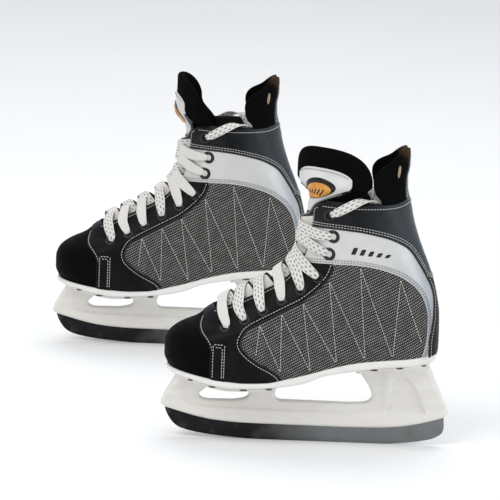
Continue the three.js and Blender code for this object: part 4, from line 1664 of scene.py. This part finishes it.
PADDED = {"padded_lining": 0.7, "tongue_felt": 0.6, "guard_padding": 0.6}
FIXED = {
    **upper_pieces(),
    **seams(),
    "eyelets": (eyelet_rings(), "enamel", []),
    "lace_cotton": (lace(), "lace", ["lace"]),
    "side_mark": (side_mark(), "enamel", []),
    "outsole_moulding": (outsole(), "sole", ["outsole"]),
    "holder_moulding": (holder(), "holder", ["holder"]),
    "blade_steel": (blade(), "steel", ["blade"]),
    "rivets": (rivets(), "rivet", []),
}


def soften(name):
    name in PADDED


def add_fixed(foot):
    for name, (shape, material, nodes) in FIXED.items():
        piece = make(name, foot, shape, material, nodes)
        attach(piece, f"{foot}_skate")
        soften(name)


def add_hinged(foot, pieces):
    """Pieces made with their transforms baked, left unattached to any skate body."""
    for name, (shape, material, nodes) in pieces.items():
        piece = make(name, foot, shape, material, nodes)
        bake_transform(piece)
        soften(name)


for foot in FEET:
    add_fixed(foot)
    tongue = {**tongue_pieces(foot), **badge_pieces(foot)}
    add_hinged(foot, tongue)
    add_hinged(foot, guard_pieces())
    footbed = frame["nodes"][f"{foot}_footbed"]
    footbed.data.materials.clear()
    footbed.data.materials.append(FOOTBED_FABRIC)


# ---- Floor, light and camera -------------------------------------------------------------
def floor():
    mesh = bpy.data.meshes.new("floor")
    reach = 6.0
    corners = [(-reach, -reach, 0), (reach, -reach, 0), (reach, reach, 0), (-reach, reach, 0)]
    mesh.from_pydata(corners, [], [(0, 1, 2, 3)])
    made = bpy.data.objects.new("floor", mesh)
    bpy.context.scene.collection.objects.link(made)
    recipe = Recipe("pale floor", 0.8)
    shade = recipe.place.noise(3.0, 2.0)
    mesh.materials.append(recipe.finish(shade.blend((0.86, 0.86, 0.86), (0.90, 0.90, 0.90))))


def lamp(name, spot, aim, size, power, colour=(1, 1, 1)):
    data = bpy.data.lights.new(name, "AREA")
    data.shape = "RECTANGLE"
    data.size, data.size_y = size
    data.energy = power
    data.color = colour
    made = bpy.data.objects.new(name, data)
    made.location = spot
    made.rotation_euler = (Vector(aim) - Vector(spot)).to_track_quat("-Z", "Y").to_euler()
    bpy.context.scene.collection.objects.link(made)


def camera():
    """Looks along +Y from above, turned a little, with the front skate's blade low in the picture."""
    tilt, roll = math.radians(CAMERA_ELEVATION), math.radians(CAMERA_ROLL)
    level, upward = Vector((1, 0, 0)), Vector((0, math.sin(tilt), math.cos(tilt)))
    right = level * math.cos(roll) + upward * math.sin(roll)
    up = upward * math.cos(roll) - level * math.sin(roll)
    back = right.cross(up)
    data = bpy.data.cameras.new("camera")
    data.lens = data.sensor_width * CAMERA_DISTANCE / PICTURE_WIDTH
    data.clip_end = 100
    low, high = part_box("left_blade")
    foot = Vector(((low[0] + BLADE_FRONT / 1000), (low[1] + high[1]) / 2, 0))
    aim = foot - right * BLADE_IN_PICTURE[0] / 1000 - up * BLADE_IN_PICTURE[1] / 1000
    made = bpy.data.objects.new("camera", data)
    made.matrix_world = Matrix((right, up, back)).transposed().to_4x4()
    made.location = aim + back * CAMERA_DISTANCE / 1000
    bpy.context.scene.collection.objects.link(made)
    bpy.context.scene.camera = made


floor()
lamp("key", (-1.6, -2.2, 2.6), (0, 0, 0.12), (2.2, 2.2), 52)
lamp("fill", (2.7, -1.2, 0.9), (0, -0.1, 0.15), (1.4, 1.6), 22, (0.86, 0.93, 1.0))
lamp("top", (0.2, 1.2, 3.0), (0, 0, 0.1), (2.6, 2.0), 34)
surroundings = bpy.data.worlds.new("studio")
surroundings.use_nodes = True
background = surroundings.node_tree.nodes["Background"]
background.inputs["Color"].default_value = (0.95, 0.97, 1.0, 1)
background.inputs["Strength"].default_value = 0.72
bpy.context.scene.world = surroundings
bpy.context.scene.view_settings.view_transform = "Standard"
camera()
